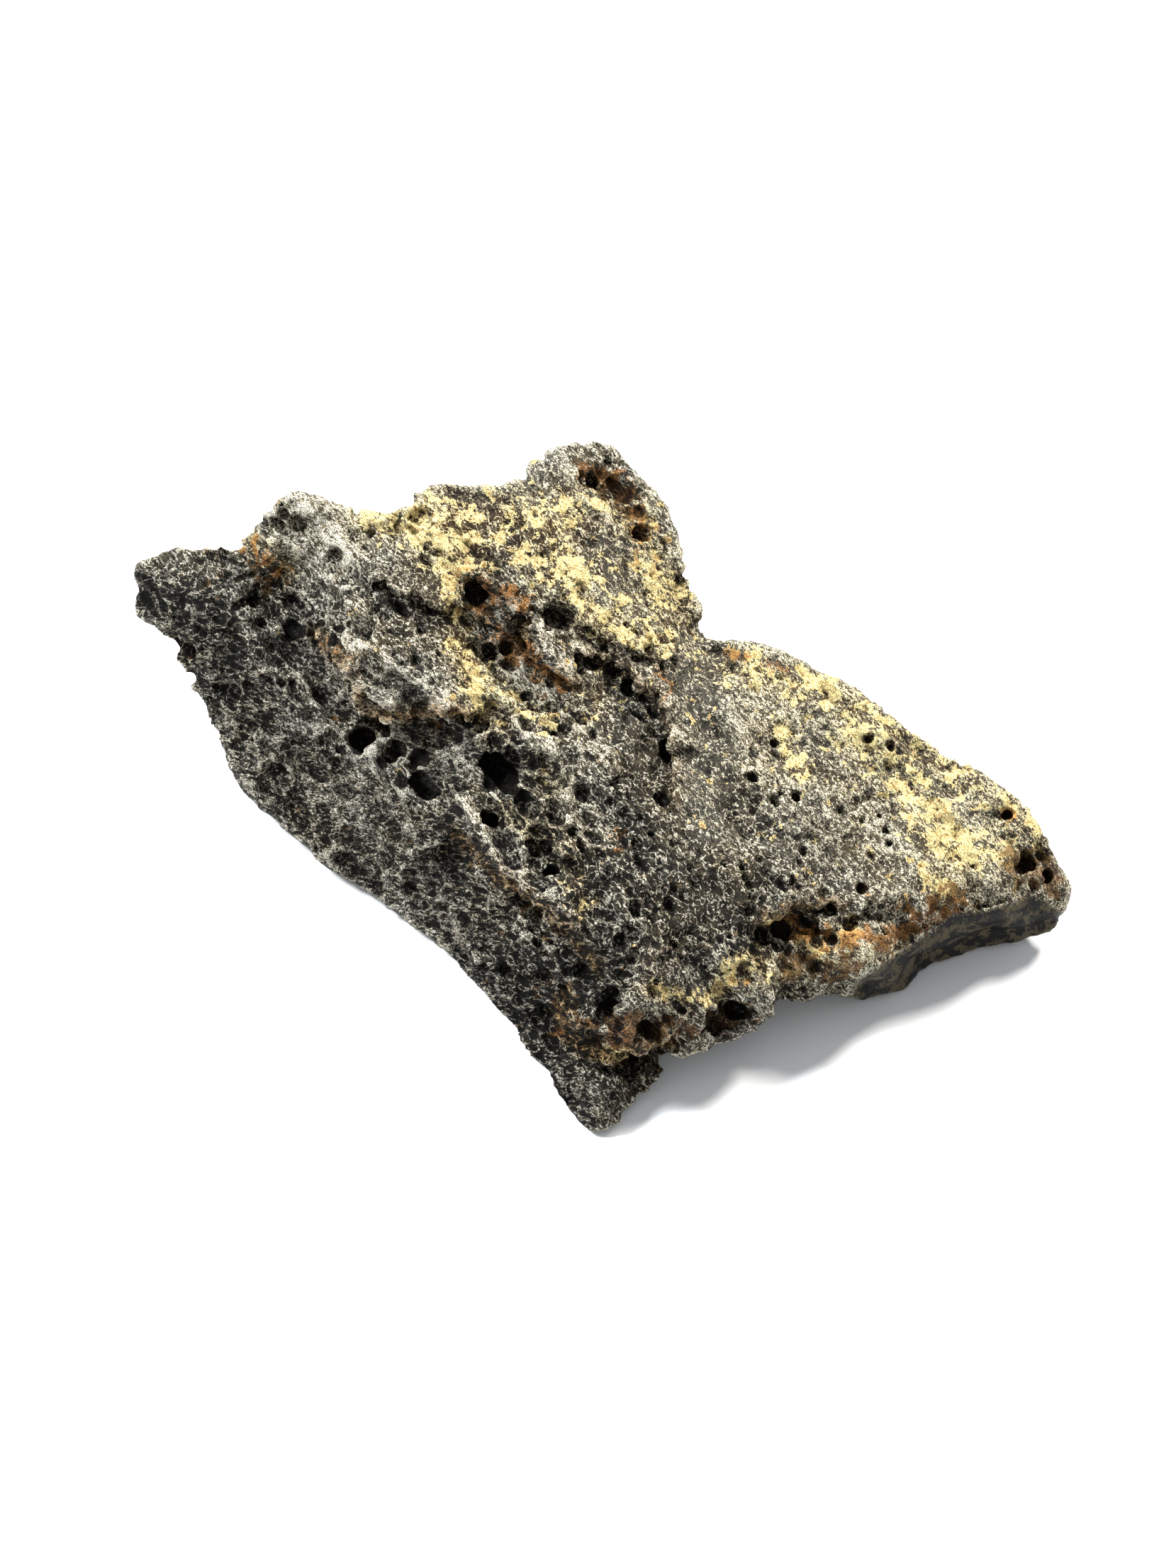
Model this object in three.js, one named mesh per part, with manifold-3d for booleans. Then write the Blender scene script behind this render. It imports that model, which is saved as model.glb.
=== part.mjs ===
// A broken piece of layered tektite: natural glass, black inside, under an etched and pitted skin.
// One closed solid in millimetres, +Z up. It rests on a worn flat foot at z = 0, and the origin is
// on that plane, under the middle of the stone's bounding box.
//
// The broad upper face is surveyed square to a sight line that falls at SIGHT_ANGLE. A station is
// [across, up, height]: across and up are measured square to the sight line, and height is the
// distance above the foot. place() turns a station into a point of the solid.

import * as THREE from "three";
import { ImprovedNoise } from "three/addons/math/ImprovedNoise.js";
import { mergeVertices } from "three/addons/utils/BufferGeometryUtils.js";
import Module from "manifold-3d";

// ---------------------------------------------------------------- driving dimensions, millimetres
const SIGHT_ANGLE = THREE.MathUtils.degToRad(55);
const HEART = [-1.2, 1.4]; // across and up of the point that the whole rim can be seen from
const BALL_DETAIL = 12; // the ball has 20 (detail + 1)^2 triangles before it is shaped
const RIM_TILT = THREE.MathUtils.degToRad(104); // polar angle of the ball that becomes the rim
const RIM_ROUNDING = 0.065; // share of the distance from heart to rim over which the edge is rounded

const LUMP_SIZE = 6.5; // the broad swells of the skin
const LUMP_DEPTH = 0.6;
const KNOB_SIZE = 2.7; // the small knobs on them
const KNOB_DEPTH = 0.42;
const FOOT_BLEND = 0.8; // height above the foot over which lumps fade in

const SCATTERED_PITS = 10; // vesicles on the sides and the underside
const SCATTERED_PIT_RADIUS = [0.7, 1.5];
const SCATTERED_PIT_SPACING = 4.2;
const SCATTERED_PIT_SEED = 41;
const MOST_TRIES = 4000; // draws after which no more places are tried
const PIT_SINK = 0.3; // how far a pit's centre lies below the skin, as a share of its radius
const PIT_BREADTH = 0.92; // width of a round pit over its length
const PIT_TURN = 40; // degrees that each round pit is turned on from the one before it

// The rim, where the upper and lower faces meet, anticlockwise from the notch on the right.
const RIM = [
  // back edge of the right lobe, from the notch out to its end
  [7.3, 9.8, 11.2],
  [10.0, 9.2, 11.8],
  [13.1, 8.1, 11.6],
  [16.9, 6.2, 11.0],
  [21.3, 3.3, 10.0],
  [25.0, 1.3, 8.8],
  [28.4, -1.2, 7.4],
  [30.1, -4.0, 6.0],
  [31.2, -5.6, 4.8],
  [31.3, -8.6, 2.2],
  // foot of the fresh break, from the right end to the middle of the front
  [30.1, -10.0, 0.9],
  [28.2, -10.7, 0.7],
  [24.9, -10.8, 0.7],
  [22.3, -12.2, 0.6],
  [20.2, -13.7, 0.7],
  [17.1, -14.0, 1.4],
  [14.2, -14.1, 3.0],
  [12.3, -14.8, 3.8],
  [10.9, -16.1, 3.6],
  [9.2, -16.9, 3.2],
  [5.8, -17.9, 3.0],
  [4.3, -19.3, 1.8],
  [2.7, -21.1, 0.9],
  [0.9, -22.8, 0.5],
  // front corner
  [0.0, -23.4, 0.4],
  [-1.2, -22.4, 0.4],
  // foot of the dark flank, from the front corner back to the left end
  [-3.1, -20.1, 0.5],
  [-4.6, -17.6, 0.6],
  [-7.0, -14.5, 0.7],
  [-10.1, -11.3, 0.8],
  [-14.4, -7.9, 1.0],
  [-18.6, -5.0, 1.3],
  [-21.1, -2.1, 1.7],
  [-23.0, -0.5, 2.0],
  [-25.6, 3.5, 3.0],
  [-27.0, 6.0, 3.6],
  [-28.4, 8.7, 4.4],
  [-30.9, 11.8, 5.8],
  // left end
  [-31.3, 13.8, 7.2],
  [-30.6, 15.4, 8.6],
  [-28.6, 16.1, 10.0],
  [-26.2, 16.1, 11.2],
  // stepped back edge up to the saddle
  [-23.9, 16.3, 12.4],
  [-22.4, 18.1, 14.6],
  [-21.0, 19.7, 15.8],
  [-19.2, 19.9, 16.2],
  [-17.6, 18.8, 16.2],
  [-15.0, 18.4, 16.2],
  [-12.6, 18.2, 16.4],
  [-12.0, 19.9, 16.8],
  [-10.2, 20.2, 16.8],
  [-7.6, 20.0, 16.7],
  [-4.7, 20.6, 16.5],
  // the peak, and down its right side to the notch
  [-3.0, 22.2, 16.3],
  [-1.4, 23.1, 16.1],
  [0.2, 23.3, 15.7],
  [2.2, 21.3, 15.1],
  [3.9, 19.3, 14.6],
  [5.1, 17.2, 14.1],
  [6.0, 14.6, 13.3],
  [6.6, 12.4, 12.4],
  [6.7, 10.8, 11.7],
];

// Stations inside the rim on the upper face.
const UPPER_FACE = [
  // plateau of the right lobe
  [7.5, 6.0, 11.8],
  [10.0, 3.0, 11.4],
  [15.0, 2.5, 10.4],
  [20.0, 0.0, 9.0],
  [25.0, -2.0, 7.6],
  [28.5, -4.4, 6.2],
  [9.0, -2.0, 11.2],
  [10.0, -6.0, 10.0],
  [15.0, -5.0, 9.0],
  [20.0, -5.0, 7.9],
  [25.0, -5.6, 6.6],
  [10.5, -10.5, 7.8],
  [15.0, -9.5, 7.0],
  // upper edge of the fresh break
  [29.6, -7.3, 4.6],
  [26.5, -7.9, 5.4],
  [23.0, -8.8, 5.6],
  [20.0, -10.9, 5.6],
  [17.6, -12.4, 4.9],
  [14.2, -12.8, 5.2],
  // front of the stone, down to the lip over the front corner
  [5.0, -5.0, 11.0],
  [5.0, -10.0, 9.2],
  [9.3, -13.4, 6.6],
  [5.0, -14.2, 7.6],
  [0.8, -14.0, 8.2],
  [4.6, -16.6, 5.6],
  [0.8, -17.6, 6.2],
  [0.8, -19.8, 4.0],
  [0.1, -21.8, 1.8],
  [-2.4, -18.4, 2.4],
  // ledge over the dark flank, and the flank below it
  [-1.8, -10.2, 8.9],
  [-4.8, -7.2, 9.2],
  [-8.6, -4.0, 8.9],
  [-11.5, -1.0, 8.6],
  [-4.6, -12.2, 5.4],
  [-8.8, -8.0, 5.0],
  [-14.0, -3.4, 4.9],
  [-18.0, 0.0, 5.0],
  [-21.5, 3.0, 5.4],
  [-14.6, 2.0, 8.8],
  [-19.0, 6.0, 8.6],
  [-24.2, 8.0, 7.2],
  // left end
  [-29.6, 14.0, 8.8],
  [-28.4, 12.4, 8.6],
  [-25.0, 13.0, 10.6],
  [-22.0, 13.0, 11.6],
  [-20.8, 10.4, 10.4],
  // raised block behind the flank
  [-20.0, 15.0, 14.0],
  [-21.0, 17.6, 15.0],
  [-17.6, 17.0, 15.9],
  [-16.0, 12.0, 14.8],
  [-16.2, 8.0, 13.6],
  [-12.5, 6.2, 13.4],
  [-11.5, 9.0, 14.2],
  [-11.0, 14.5, 15.8],
  [-8.4, 5.4, 12.6],
  // middle
  [-7.2, 0.0, 10.8],
  [-3.0, -3.2, 11.2],
  [0.0, -0.5, 12.0],
  [-3.0, 3.4, 12.6],
  [-6.4, 8.6, 13.4],
  [0.6, -7.6, 10.8],
  [5.4, 0.0, 12.1],
  // upper lobe
  [-2.2, 8.0, 14.0],
  [3.4, 8.4, 13.2],
  [-7.0, 13.0, 15.3],
  [-2.0, 13.0, 15.6],
  [3.2, 13.0, 14.0],
  [-7.5, 17.4, 16.4],
  [-1.5, 17.6, 16.4],
  [2.6, 17.4, 15.2],
  [-0.6, 20.8, 16.2],
];

// Stations inside the rim on the lower face. A height below zero marks the worn foot.
const LOWER_FACE = [
  // steep back, under the peak
  [-0.4, 20.0, 10.6],
  [-0.6, 16.6, 5.6],
  [-0.8, 13.2, 0.8],
  [3.4, 15.0, 9.0],
  [3.4, 11.0, 3.6],
  [4.4, 8.0, 3.0],
  // under the raised block
  [-8.0, 16.8, 11.6],
  [-8.0, 13.2, 6.2],
  [-8.0, 9.6, 1.0],
  [-15.6, 15.2, 11.2],
  [-15.6, 11.8, 6.0],
  [-15.6, 8.4, 1.2],
  [-20.6, 15.6, 9.8],
  [-20.6, 11.4, 4.2],
  [-20.0, 7.8, 0.8],
  [-29.0, 13.2, 5.0],
  [-25.6, 12.6, 5.4],
  [-24.6, 8.6, 2.0],
  // under the right lobe
  [10.0, 5.4, 6.2],
  [10.2, 1.8, 1.2],
  [16.6, 2.6, 5.8],
  [16.4, -0.8, 1.2],
  [24.4, -2.0, 4.0],
  [24.0, -4.6, 0.8],
  [28.8, -6.4, 2.4],
  // worn foot
  [-3.0, 6.0, -2.4],
  [-12.0, 4.2, -2.0],
  [-18.6, 3.4, -1.4],
  [5.0, 2.0, -2.4],
  [0.0, -4.0, -4.0],
  [-8.0, -4.0, -3.2],
  [-13.6, -4.0, -1.8],
  [11.0, -4.0, -2.8],
  [17.0, -6.0, -2.2],
  [22.0, -8.0, -1.4],
  [27.6, -8.9, -0.5],
  [-2.0, -12.0, -2.6],
  [6.0, -12.0, -2.0],
  [13.0, -11.0, -1.2],
  [0.0, -19.0, -1.2],
  [18.0, -11.4, -1.2],
];

// Lips where a layer of the glass has broken off short. The skin to the right of each line, as it
// is drawn, drops by the given depth and climbs back over the given reach.
const LIPS = [
  {
    // edge of the raised block, over the flank
    line: [
      [-23.2, 16.2],
      [-21.9, 14.6],
      [-20.4, 12.0],
      [-19.0, 10.6],
      [-17.2, 8.6],
      [-16.6, 6.4],
      [-15.2, 4.7],
      [-13.0, 4.3],
      [-11.0, 4.8],
      [-8.4, 4.9],
      [-7.2, 3.8],
    ],
    drop: 2.6,
    reach: 2.6,
  },
  {
    // ledge in the middle of the flank
    line: [
      [-10.6, -2.6],
      [-8.6, -4.4],
      [-7.0, -6.1],
      [-4.6, -7.7],
      [-2.2, -9.8],
      [-1.0, -11.6],
      [0.2, -13.0],
    ],
    drop: 2.0,
    reach: 2.2,
  },
  {
    // flake over the front corner
    line: [
      [-2.0, -12.8],
      [-2.7, -15.4],
      [-2.1, -16.8],
      [-0.8, -17.8],
      [1.0, -18.3],
      [3.2, -17.6],
      [5.4, -16.8],
    ],
    drop: 1.8,
    reach: 1.6,
  },
  {
    // long lip in the middle of the upper face
    line: [
      [-0.6, 8.6],
      [1.8, 7.6],
      [2.5, 6.4],
      [3.9, 6.0],
      [4.6, 4.4],
      [5.0, 1.4],
      [4.9, -0.6],
      [4.3, -2.2],
    ],
    drop: 1.3,
    reach: 2.6,
  },
  {
    // lip beside the channel
    line: [
      [-5.4, 11.2],
      [-4.8, 9.4],
      [-4.3, 7.5],
      [-2.8, 7.3],
      [-1.2, 6.2],
    ],
    drop: 1.2,
    reach: 2.0,
  },
  {
    // step across the raised block
    line: [
      [-15.2, 13.6],
      [-13.0, 12.8],
      [-10.2, 11.8],
      [-8.6, 11.4],
    ],
    drop: 0.9,
    reach: 1.6,
  },
  {
    // step across the upper lobe
    line: [
      [-4.6, 12.0],
      [-1.2, 10.6],
      [3.6, 8.2],
    ],
    drop: 0.8,
    reach: 1.8,
  },
  {
    // low scarp behind the fresh break
    line: [
      [8.2, -9.8],
      [12.1, -8.9],
      [17.3, -8.1],
      [20.4, -7.6],
    ],
    drop: 0.9,
    reach: 2.0,
  },
];
const LIP_TAPER = 0.18; // share of a lip's length over which it dies out at each end

// Bubbles that the etching has opened, as [across, up, width].
const ROUND_PITS = [
  [-15.9, 3.4, 2.7],
  [-12.8, 4.1, 1.5],
  [-9.8, 4.1, 1.8],
  [-13.6, 2.4, 1.7],
  [-12.2, 1.9, 1.7],
  [-17.4, 2.5, 1.1],
  [-8.3, 13.0, 2.6],
  [-6.3, 9.4, 1.8],
  [-5.3, 9.8, 1.2],
  [-6.1, 8.3, 1.2],
  [-8.3, 10.7, 1.1],
  [-18.0, 10.0, 2.0],
  [-20.8, 10.6, 1.6],
  [-22.9, 10.9, 1.1],
  [-3.1, 3.3, 1.2],
  [-3.2, -5.7, 1.4],
  [-3.6, -6.7, 1.2],
  [-7.4, -2.5, 1.8],
  [-8.5, -4.1, 1.9],
  [-1.4, -13.9, 2.2],
  [0.8, -14.8, 1.6],
  [3.3, -16.3, 1.8],
  [2.2, -18.5, 2.5],
  [9.2, -15.3, 2.3],
  [7.6, -16.0, 1.6],
  [12.0, -9.6, 1.5],
  [15.6, -10.3, 1.2],
  [27.3, -2.0, 1.2],
  [28.6, -5.4, 1.6],
  [30.0, -6.3, 1.2],
  [-0.4, 20.6, 1.7],
  [1.8, 18.6, 1.3],
  [2.7, 16.8, 1.2],
  [-27.5, 9.0, 1.4],
  [-24.8, 6.4, 1.2],
];

// Grooves and hollows that follow the glass's layers, as
// [across, up, length, width, depth, turn in degrees, lean in degrees].
// turn is measured from across towards up; lean tips the hollow about its long axis, so that one
// side is a steep lip and the other a ramp.
const LAYER_HOLLOWS = [
  [-6.7, 8.8, 4.6, 2.2, 0.8, -60, 14], // channel beside the raised block
  [-6.6, 0.9, 4.9, 2.1, 2.0, -44, 14], // long open bubble
  [-3.9, -4.1, 2.6, 1.3, 1.3, -8, 16], // under the small lip below it
  [-11.8, -0.2, 3.2, 1.6, 1.2, -12, 0], // torn bubble on the flank
  [13.6, -8.7, 2.8, 1.2, 1.0, 12, 10], // slot on the right lobe
];

// ---------------------------------------------------------------- the survey
const sightCos = Math.cos(SIGHT_ANGLE);
const sightSin = Math.sin(SIGHT_ANGLE);

// The point of the solid that a station stands for.
function place(across, up, height) {
  return new THREE.Vector3(across, (up - height * sightCos) / sightSin, height);
}

// Solves a set of linear equations by elimination; each row ends with its right-hand side.
function solve(rows) {
  const size = rows.length;
  for (let column = 0; column < size; column++) {
    let best = column;
    for (let r = column + 1; r < size; r++) {
      if (Math.abs(rows[r][column]) > Math.abs(rows[best][column])) best = r;
    }
    [rows[column], rows[best]] = [rows[best], rows[column]];
    for (let r = column + 1; r < size; r++) {
      const share = rows[r][column] / rows[column][column];
      for (let c = column; c <= size; c++) rows[r][c] -= share * rows[column][c];
    }
  }
  const answer = new Array(size).fill(0);
  for (let r = size - 1; r >= 0; r--) {
    let sum = rows[r][size];
    for (let c = r + 1; c < size; c++) sum -= rows[r][c] * answer[c];
    answer[r] = sum / rows[r][r];
  }
  return answer;
}

// The smooth sheet of least bending through a set of stations, as a function of across and up.
function sheetThrough(stations) {
  const bend = (a, b, c, d) => {
    const square = (a - c) ** 2 + (b - d) ** 2;
    return square > 0 ? 0.5 * square * Math.log(square) : 0;
  };
  const rows = stations.map(([a, b, height]) => [
    ...stations.map(([c, d]) => bend(a, b, c, d)),
    1,
    a,
    b,
    height,
  ]);
  for (const level of [() => 1, (s) => s[0], (s) => s[1]]) {
    rows.push([...stations.map(level), 0, 0, 0, 0]);
  }
  const weights = solve(rows);
  const [base, alongAcross, alongUp] = weights.slice(stations.length);
  return (across, up) =>
    stations.reduce(
      (sum, [c, d], i) => sum + weights[i] * bend(across, up, c, d),
      base + alongAcross * across + alongUp * up,
    );
}

const upperSheet = sheetThrough([...RIM, ...UPPER_FACE]);
const lowerSheet = sheetThrough([...RIM, ...LOWER_FACE]);

// How far the lips sink the skin at a station.
function lipDrop(across, up) {
  const here = new THREE.Vector2(across, up);
  let total = 0;
  for (const { line, drop, reach } of LIPS) {
    const corners = line.map(([a, b]) => new THREE.Vector2(a, b));
    const steps = corners.slice(1).map((corner, i) => corner.distanceTo(corners[i]));
    const length = steps.reduce((sum, step) => sum + step, 0);
    let nearest = { distance: Infinity };
    let walked = 0;
    steps.forEach((step, i) => {
      const ahead = corners[i + 1].clone().sub(corners[i]).divideScalar(step);
      const offset = here.clone().sub(corners[i]);
      const along = THREE.MathUtils.clamp(offset.dot(ahead), 0, step);
      const distance = offset.distanceTo(ahead.clone().multiplyScalar(along));
      if (distance < nearest.distance) {
        const isRight = ahead.cross(offset) < 0;
        nearest = { distance, isRight, share: (walked + along) / length };
      }
      walked += step;
    });
    if (!nearest.isRight) continue;
    const fromEnd = Math.min(nearest.share, 1 - nearest.share);
    const taper = THREE.MathUtils.smoothstep(fromEnd, 0, LIP_TAPER);
    total += drop * taper * Math.exp(-((nearest.distance / reach) ** 2));
  }
  return total;
}

// The rim as a closed curve, read by its angle about the heart.
const RIM_SAMPLES = 900;
const rimCurve = new THREE.CatmullRomCurve3(
  RIM.map((station) => new THREE.Vector3(...station)),
  true,
  "centripetal",
);
const rimByAngle = rimCurve
  .getPoints(RIM_SAMPLES)
  .map((point) => ({
    point,
    angle: Math.atan2(point.y - HEART[1], point.x - HEART[0]),
  }))
  .sort((a, b) => a.angle - b.angle);

function rimAt(angle) {
  let after = rimByAngle.findIndex((sample) => sample.angle >= angle);
  if (after < 0) after = 0;
  const before = (after + rimByAngle.length - 1) % rimByAngle.length;
  const [a, b] = [rimByAngle[before], rimByAngle[after]];
  const turn = (value) => THREE.MathUtils.euclideanModulo(value, 2 * Math.PI);
  const span = turn(b.angle - a.angle);
  const share = span > 0 ? turn(angle - a.angle) / span : 0;
  return a.point.clone().lerp(b.point, share);
}

// ---------------------------------------------------------------- the body
const noise = new ImprovedNoise();

function swell(point, size) {
  return noise.noise(point.x / size + 7.3, point.y / size + 2.1, point.z / size + 4.7);
}

// Merges a geometry's shared corners, so that only its closed surface is left.
function closedSurface(geometry) {
  const bare = new THREE.BufferGeometry();
  bare.setAttribute("position", geometry.getAttribute("position"));
  if (geometry.index) bare.setIndex(geometry.index);
  return mergeVertices(bare, 1e-4);
}

// Moves a corner of the unit ball to its place on the stone.
function onStone(direction) {
  const polar = Math.acos(THREE.MathUtils.clamp(direction.z, -1, 1));
  const isUpper = polar < RIM_TILT;
  const share = isUpper ? polar / RIM_TILT : (Math.PI - polar) / (Math.PI - RIM_TILT);
  const reach = Math.sin((share * Math.PI) / 2);
  const rim = rimAt(Math.atan2(direction.y, direction.x));
  const across = THREE.MathUtils.lerp(HEART[0], rim.x, reach);
  const up = THREE.MathUtils.lerp(HEART[1], rim.y, reach);
  const inward = Math.min(1, (1 - reach) / RIM_ROUNDING);
  const rounding = Math.sqrt(1 - (1 - inward) ** 2);
  const sheet = isUpper ? upperSheet(across, up) - lipDrop(across, up) : lowerSheet(across, up);
  const height = THREE.MathUtils.lerp(rim.z, sheet, rounding);
  return place(across, up, Math.max(0, height));
}

function bodyGeometry() {
  const geometry = closedSurface(new THREE.IcosahedronGeometry(1, BALL_DETAIL));
  const position = geometry.getAttribute("position");
  const point = new THREE.Vector3();
  for (let i = 0; i < position.count; i++) {
    point.fromBufferAttribute(position, i);
    position.setXYZ(i, ...onStone(point));
  }
  geometry.computeVertexNormals();
  const normals = geometry.getAttribute("normal");
  const normal = new THREE.Vector3();
  for (let i = 0; i < position.count; i++) {
    point.fromBufferAttribute(position, i);
    normal.fromBufferAttribute(normals, i);
    const fade = Math.min(1, point.z / FOOT_BLEND);
    const lump = LUMP_DEPTH * swell(point, LUMP_SIZE) + KNOB_DEPTH * swell(point, KNOB_SIZE);
    point.addScaledVector(normal, lump * fade);
    position.setXYZ(i, point.x, point.y, Math.max(0, point.z));
  }
  geometry.computeVertexNormals();
  return geometry;
}

// ---------------------------------------------------------------- pits and hollows
const PROBE = 0.6; // how far apart the sheet is felt for its slope
const ABOVE = 60; // a height clear of the whole stone

// The point, the outward normal and the across direction of the body's upper face at a station.
// The point is where a ray down the sight line meets the skin, with its swells and knobs.
function upperFrame(body, across, up) {
  const at = (a, b) => place(a, b, upperSheet(a, b));
  const sight = new THREE.Vector3(0, sightCos, -sightSin);
  const hits = new THREE.Raycaster(place(across, up, ABOVE), sight).intersectObject(body);
  const point = hits[0].point;
  const alongAcross = at(across + PROBE, up).sub(at(across - PROBE, up));
  const alongUp = at(across, up + PROBE).sub(at(across, up - PROBE));
  const normal = new THREE.Vector3().crossVectors(alongAcross, alongUp).normalize();
  return { point, normal, along: alongAcross.normalize() };
}

// An ellipsoid of three full sizes, set into a face with its third size along the normal.
function scoopGeometry({ point, normal, along }, [length, width, depth], turn, lean, sink, detail) {
  const side = new THREE.Vector3().crossVectors(normal, along);
  const basis = new THREE.Matrix4().makeBasis(along, side, normal);
  const matrix = new THREE.Matrix4()
    .makeTranslation(point.clone().addScaledVector(normal, -sink))
    .multiply(basis)
    .multiply(new THREE.Matrix4().makeRotationZ(THREE.MathUtils.degToRad(turn)))
    .multiply(new THREE.Matrix4().makeRotationX(THREE.MathUtils.degToRad(lean)))
    .multiply(new THREE.Matrix4().makeScale(length / 2, width / 2, depth));
  return closedSurface(new THREE.IcosahedronGeometry(1, detail)).applyMatrix4(matrix);
}

function roundPits(body) {
  return ROUND_PITS.map(([across, up, width], i) =>
    scoopGeometry(
      upperFrame(body, across, up),
      [width, width * PIT_BREADTH, width / 2],
      i * PIT_TURN,
      0,
      (PIT_SINK * width) / 2,
      1,
    ),
  );
}

function layerHollows(body) {
  return LAYER_HOLLOWS.map(([across, up, length, width, depth, turn, lean]) =>
    scoopGeometry(upperFrame(body, across, up), [length, width, depth], turn, lean, 0, 2),
  );
}

// Vesicles spread evenly over the lower half of the body, away from the worn foot.
function scatteredPits(body) {
  const position = body.geometry.getAttribute("position");
  const normalAt = body.geometry.getAttribute("normal");
  const made = [];
  const kept = [];
  THREE.MathUtils.seededRandom(SCATTERED_PIT_SEED);
  for (let tries = 0; made.length < SCATTERED_PITS && tries < MOST_TRIES; tries++) {
    const i = Math.floor(THREE.MathUtils.seededRandom() * position.count);
    const [least, most] = SCATTERED_PIT_RADIUS;
    const radius = THREE.MathUtils.lerp(least, most, THREE.MathUtils.seededRandom() ** 2);
    const point = new THREE.Vector3().fromBufferAttribute(position, i);
    const normal = new THREE.Vector3().fromBufferAttribute(normalAt, i);
    const isHidden = normal.dot(new THREE.Vector3(0, -sightCos, sightSin)) < -0.15;
    const isAboveFoot = point.z > 1.6 * radius;
    const isClear = kept.every((other) => other.distanceTo(point) > SCATTERED_PIT_SPACING);
    if (!isHidden || !isAboveFoot || !isClear) continue;
    kept.push(point);
    const along = new THREE.Vector3(0, 0, 1).cross(normal).normalize();
    const sizes = [2 * radius, 1.7 * radius, radius];
    made.push(scoopGeometry({ point, normal, along }, sizes, 0, 0, PIT_SINK * radius, 1));
  }
  return made;
}

// ---------------------------------------------------------------- the stone
const wasm = await Module();
wasm.setup();

function toSolid(geometry) {
  return new wasm.Manifold(
    new wasm.Mesh({
      numProp: 3,
      vertProperties: geometry.getAttribute("position").array,
      triVerts: new Uint32Array(geometry.index.array),
    }),
  );
}

function toGeometry(solid) {
  const mesh = solid.getMesh();
  return new THREE.BufferGeometry()
    .setAttribute("position", new THREE.BufferAttribute(mesh.vertProperties, 3))
    .setIndex(new THREE.BufferAttribute(mesh.triVerts, 1));
}

function stoneGeometry() {
  const body = new THREE.Mesh(bodyGeometry());
  const cuts = [...roundPits(body), ...layerHollows(body), ...scatteredPits(body)];
  const whole = toSolid(body.geometry);
  const stone = cuts.reduce((solid, cut) => solid.subtract(toSolid(cut)), whole);
  const [largest] = stone.decompose().sort((a, b) => b.volume() - a.volume());
  const geometry = toGeometry(largest); // without the crumbs that the cuts leave loose
  geometry.computeBoundingBox();
  const { min, max } = geometry.boundingBox;
  return geometry.translate(-(min.x + max.x) / 2, -(min.y + max.y) / 2, 0);
}

const weatheredGlass = new THREE.MeshStandardMaterial({
  color: 0x5d5a50,
  roughness: 0.8,
  metalness: 0,
});
const tektite = new THREE.Mesh(stoneGeometry(), weatheredGlass);
tektite.name = "tektite";

const part = new THREE.Group();
part.add(tektite);
export default part;
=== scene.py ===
"""A broken piece of layered tektite, with its etched skin, opened bubbles, soil and fresh break.

The stone's main form comes from the frame. This script gives it the fine surface that natural
glass gets in the ground: cups etched side by side, opened bubbles drawn out along the layers,
thin lips with hollows under them, and soil that stays where water leaves it.
"""

import functools
import itertools
import math
import random

import bmesh
import bpy
import numpy as np
from mathutils import Matrix, Vector, noise
from mathutils.bvhtree import BVHTree
from mathutils.kdtree import KDTree


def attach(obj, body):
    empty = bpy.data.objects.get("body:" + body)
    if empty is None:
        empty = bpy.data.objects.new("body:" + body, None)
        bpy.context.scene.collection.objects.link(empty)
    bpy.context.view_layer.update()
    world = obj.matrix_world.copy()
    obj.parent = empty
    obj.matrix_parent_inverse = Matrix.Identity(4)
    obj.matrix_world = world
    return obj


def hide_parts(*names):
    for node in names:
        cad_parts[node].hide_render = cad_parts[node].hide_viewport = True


bl_info = {
    "name": "Layered Tektite",
    "version": (1, 0, 0),
    "blender": (4, 5, 0),
    "location": "3D View > Sidebar > Tektite",
    "description": "Gives a broken piece of layered tektite its etched and soil-stained skin",
    "category": "Add Mesh",
}

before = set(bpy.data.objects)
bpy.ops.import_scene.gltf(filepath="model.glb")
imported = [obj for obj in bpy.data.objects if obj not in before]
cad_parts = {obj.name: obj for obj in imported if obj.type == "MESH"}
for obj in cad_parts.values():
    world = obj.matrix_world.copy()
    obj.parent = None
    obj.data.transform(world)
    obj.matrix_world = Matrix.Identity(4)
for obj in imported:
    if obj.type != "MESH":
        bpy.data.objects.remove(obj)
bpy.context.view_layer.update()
NODE = "tektite"
MM = 0.001

# The stone is surveyed square to a sight line that falls at this angle: across and up are measured
# square to it, in millimetres, from the survey's own origin.
SIGHT_ANGLE = math.radians(55)
SIGHT_COS = math.cos(SIGHT_ANGLE)
SIGHT_SIN = math.sin(SIGHT_ANGLE)
SURVEY_SHIFT = 5.66  # how far the survey's origin lies behind the frame's, in mm
SIGHT = Vector((0.0, SIGHT_COS, -SIGHT_SIN))  # away from the eye

# The glass flowed this way while it was soft, so bubbles and bands are drawn out along it. In the
# survey it points down to the right.
LAYERING = Vector((0.62, -0.78, -0.05)).normalized()
LAYERING_SEEN = (0.68, -0.73)
FLANK_GRAIN = Vector((0.68, -0.56, 0.48))  # the flank cuts across the layers
FLANK_FACING = Vector((-0.72, -0.62, 0.3)).normalized()
STRUCK_AT = (31.0, -16.0, 9.0)  # where the blow fell that made the fresh break, in mm

FLOOR_REACH = 1.5  # from the middle of the floor to its sides, in metres
FLOOR_GAP = 0.02  # how far the floor lies under the foot, so as not to share its plane, in mm
VIEW_CENTRE = (-0.79, 0.23, 8.0)  # the point that the camera looks at, in mm

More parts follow.
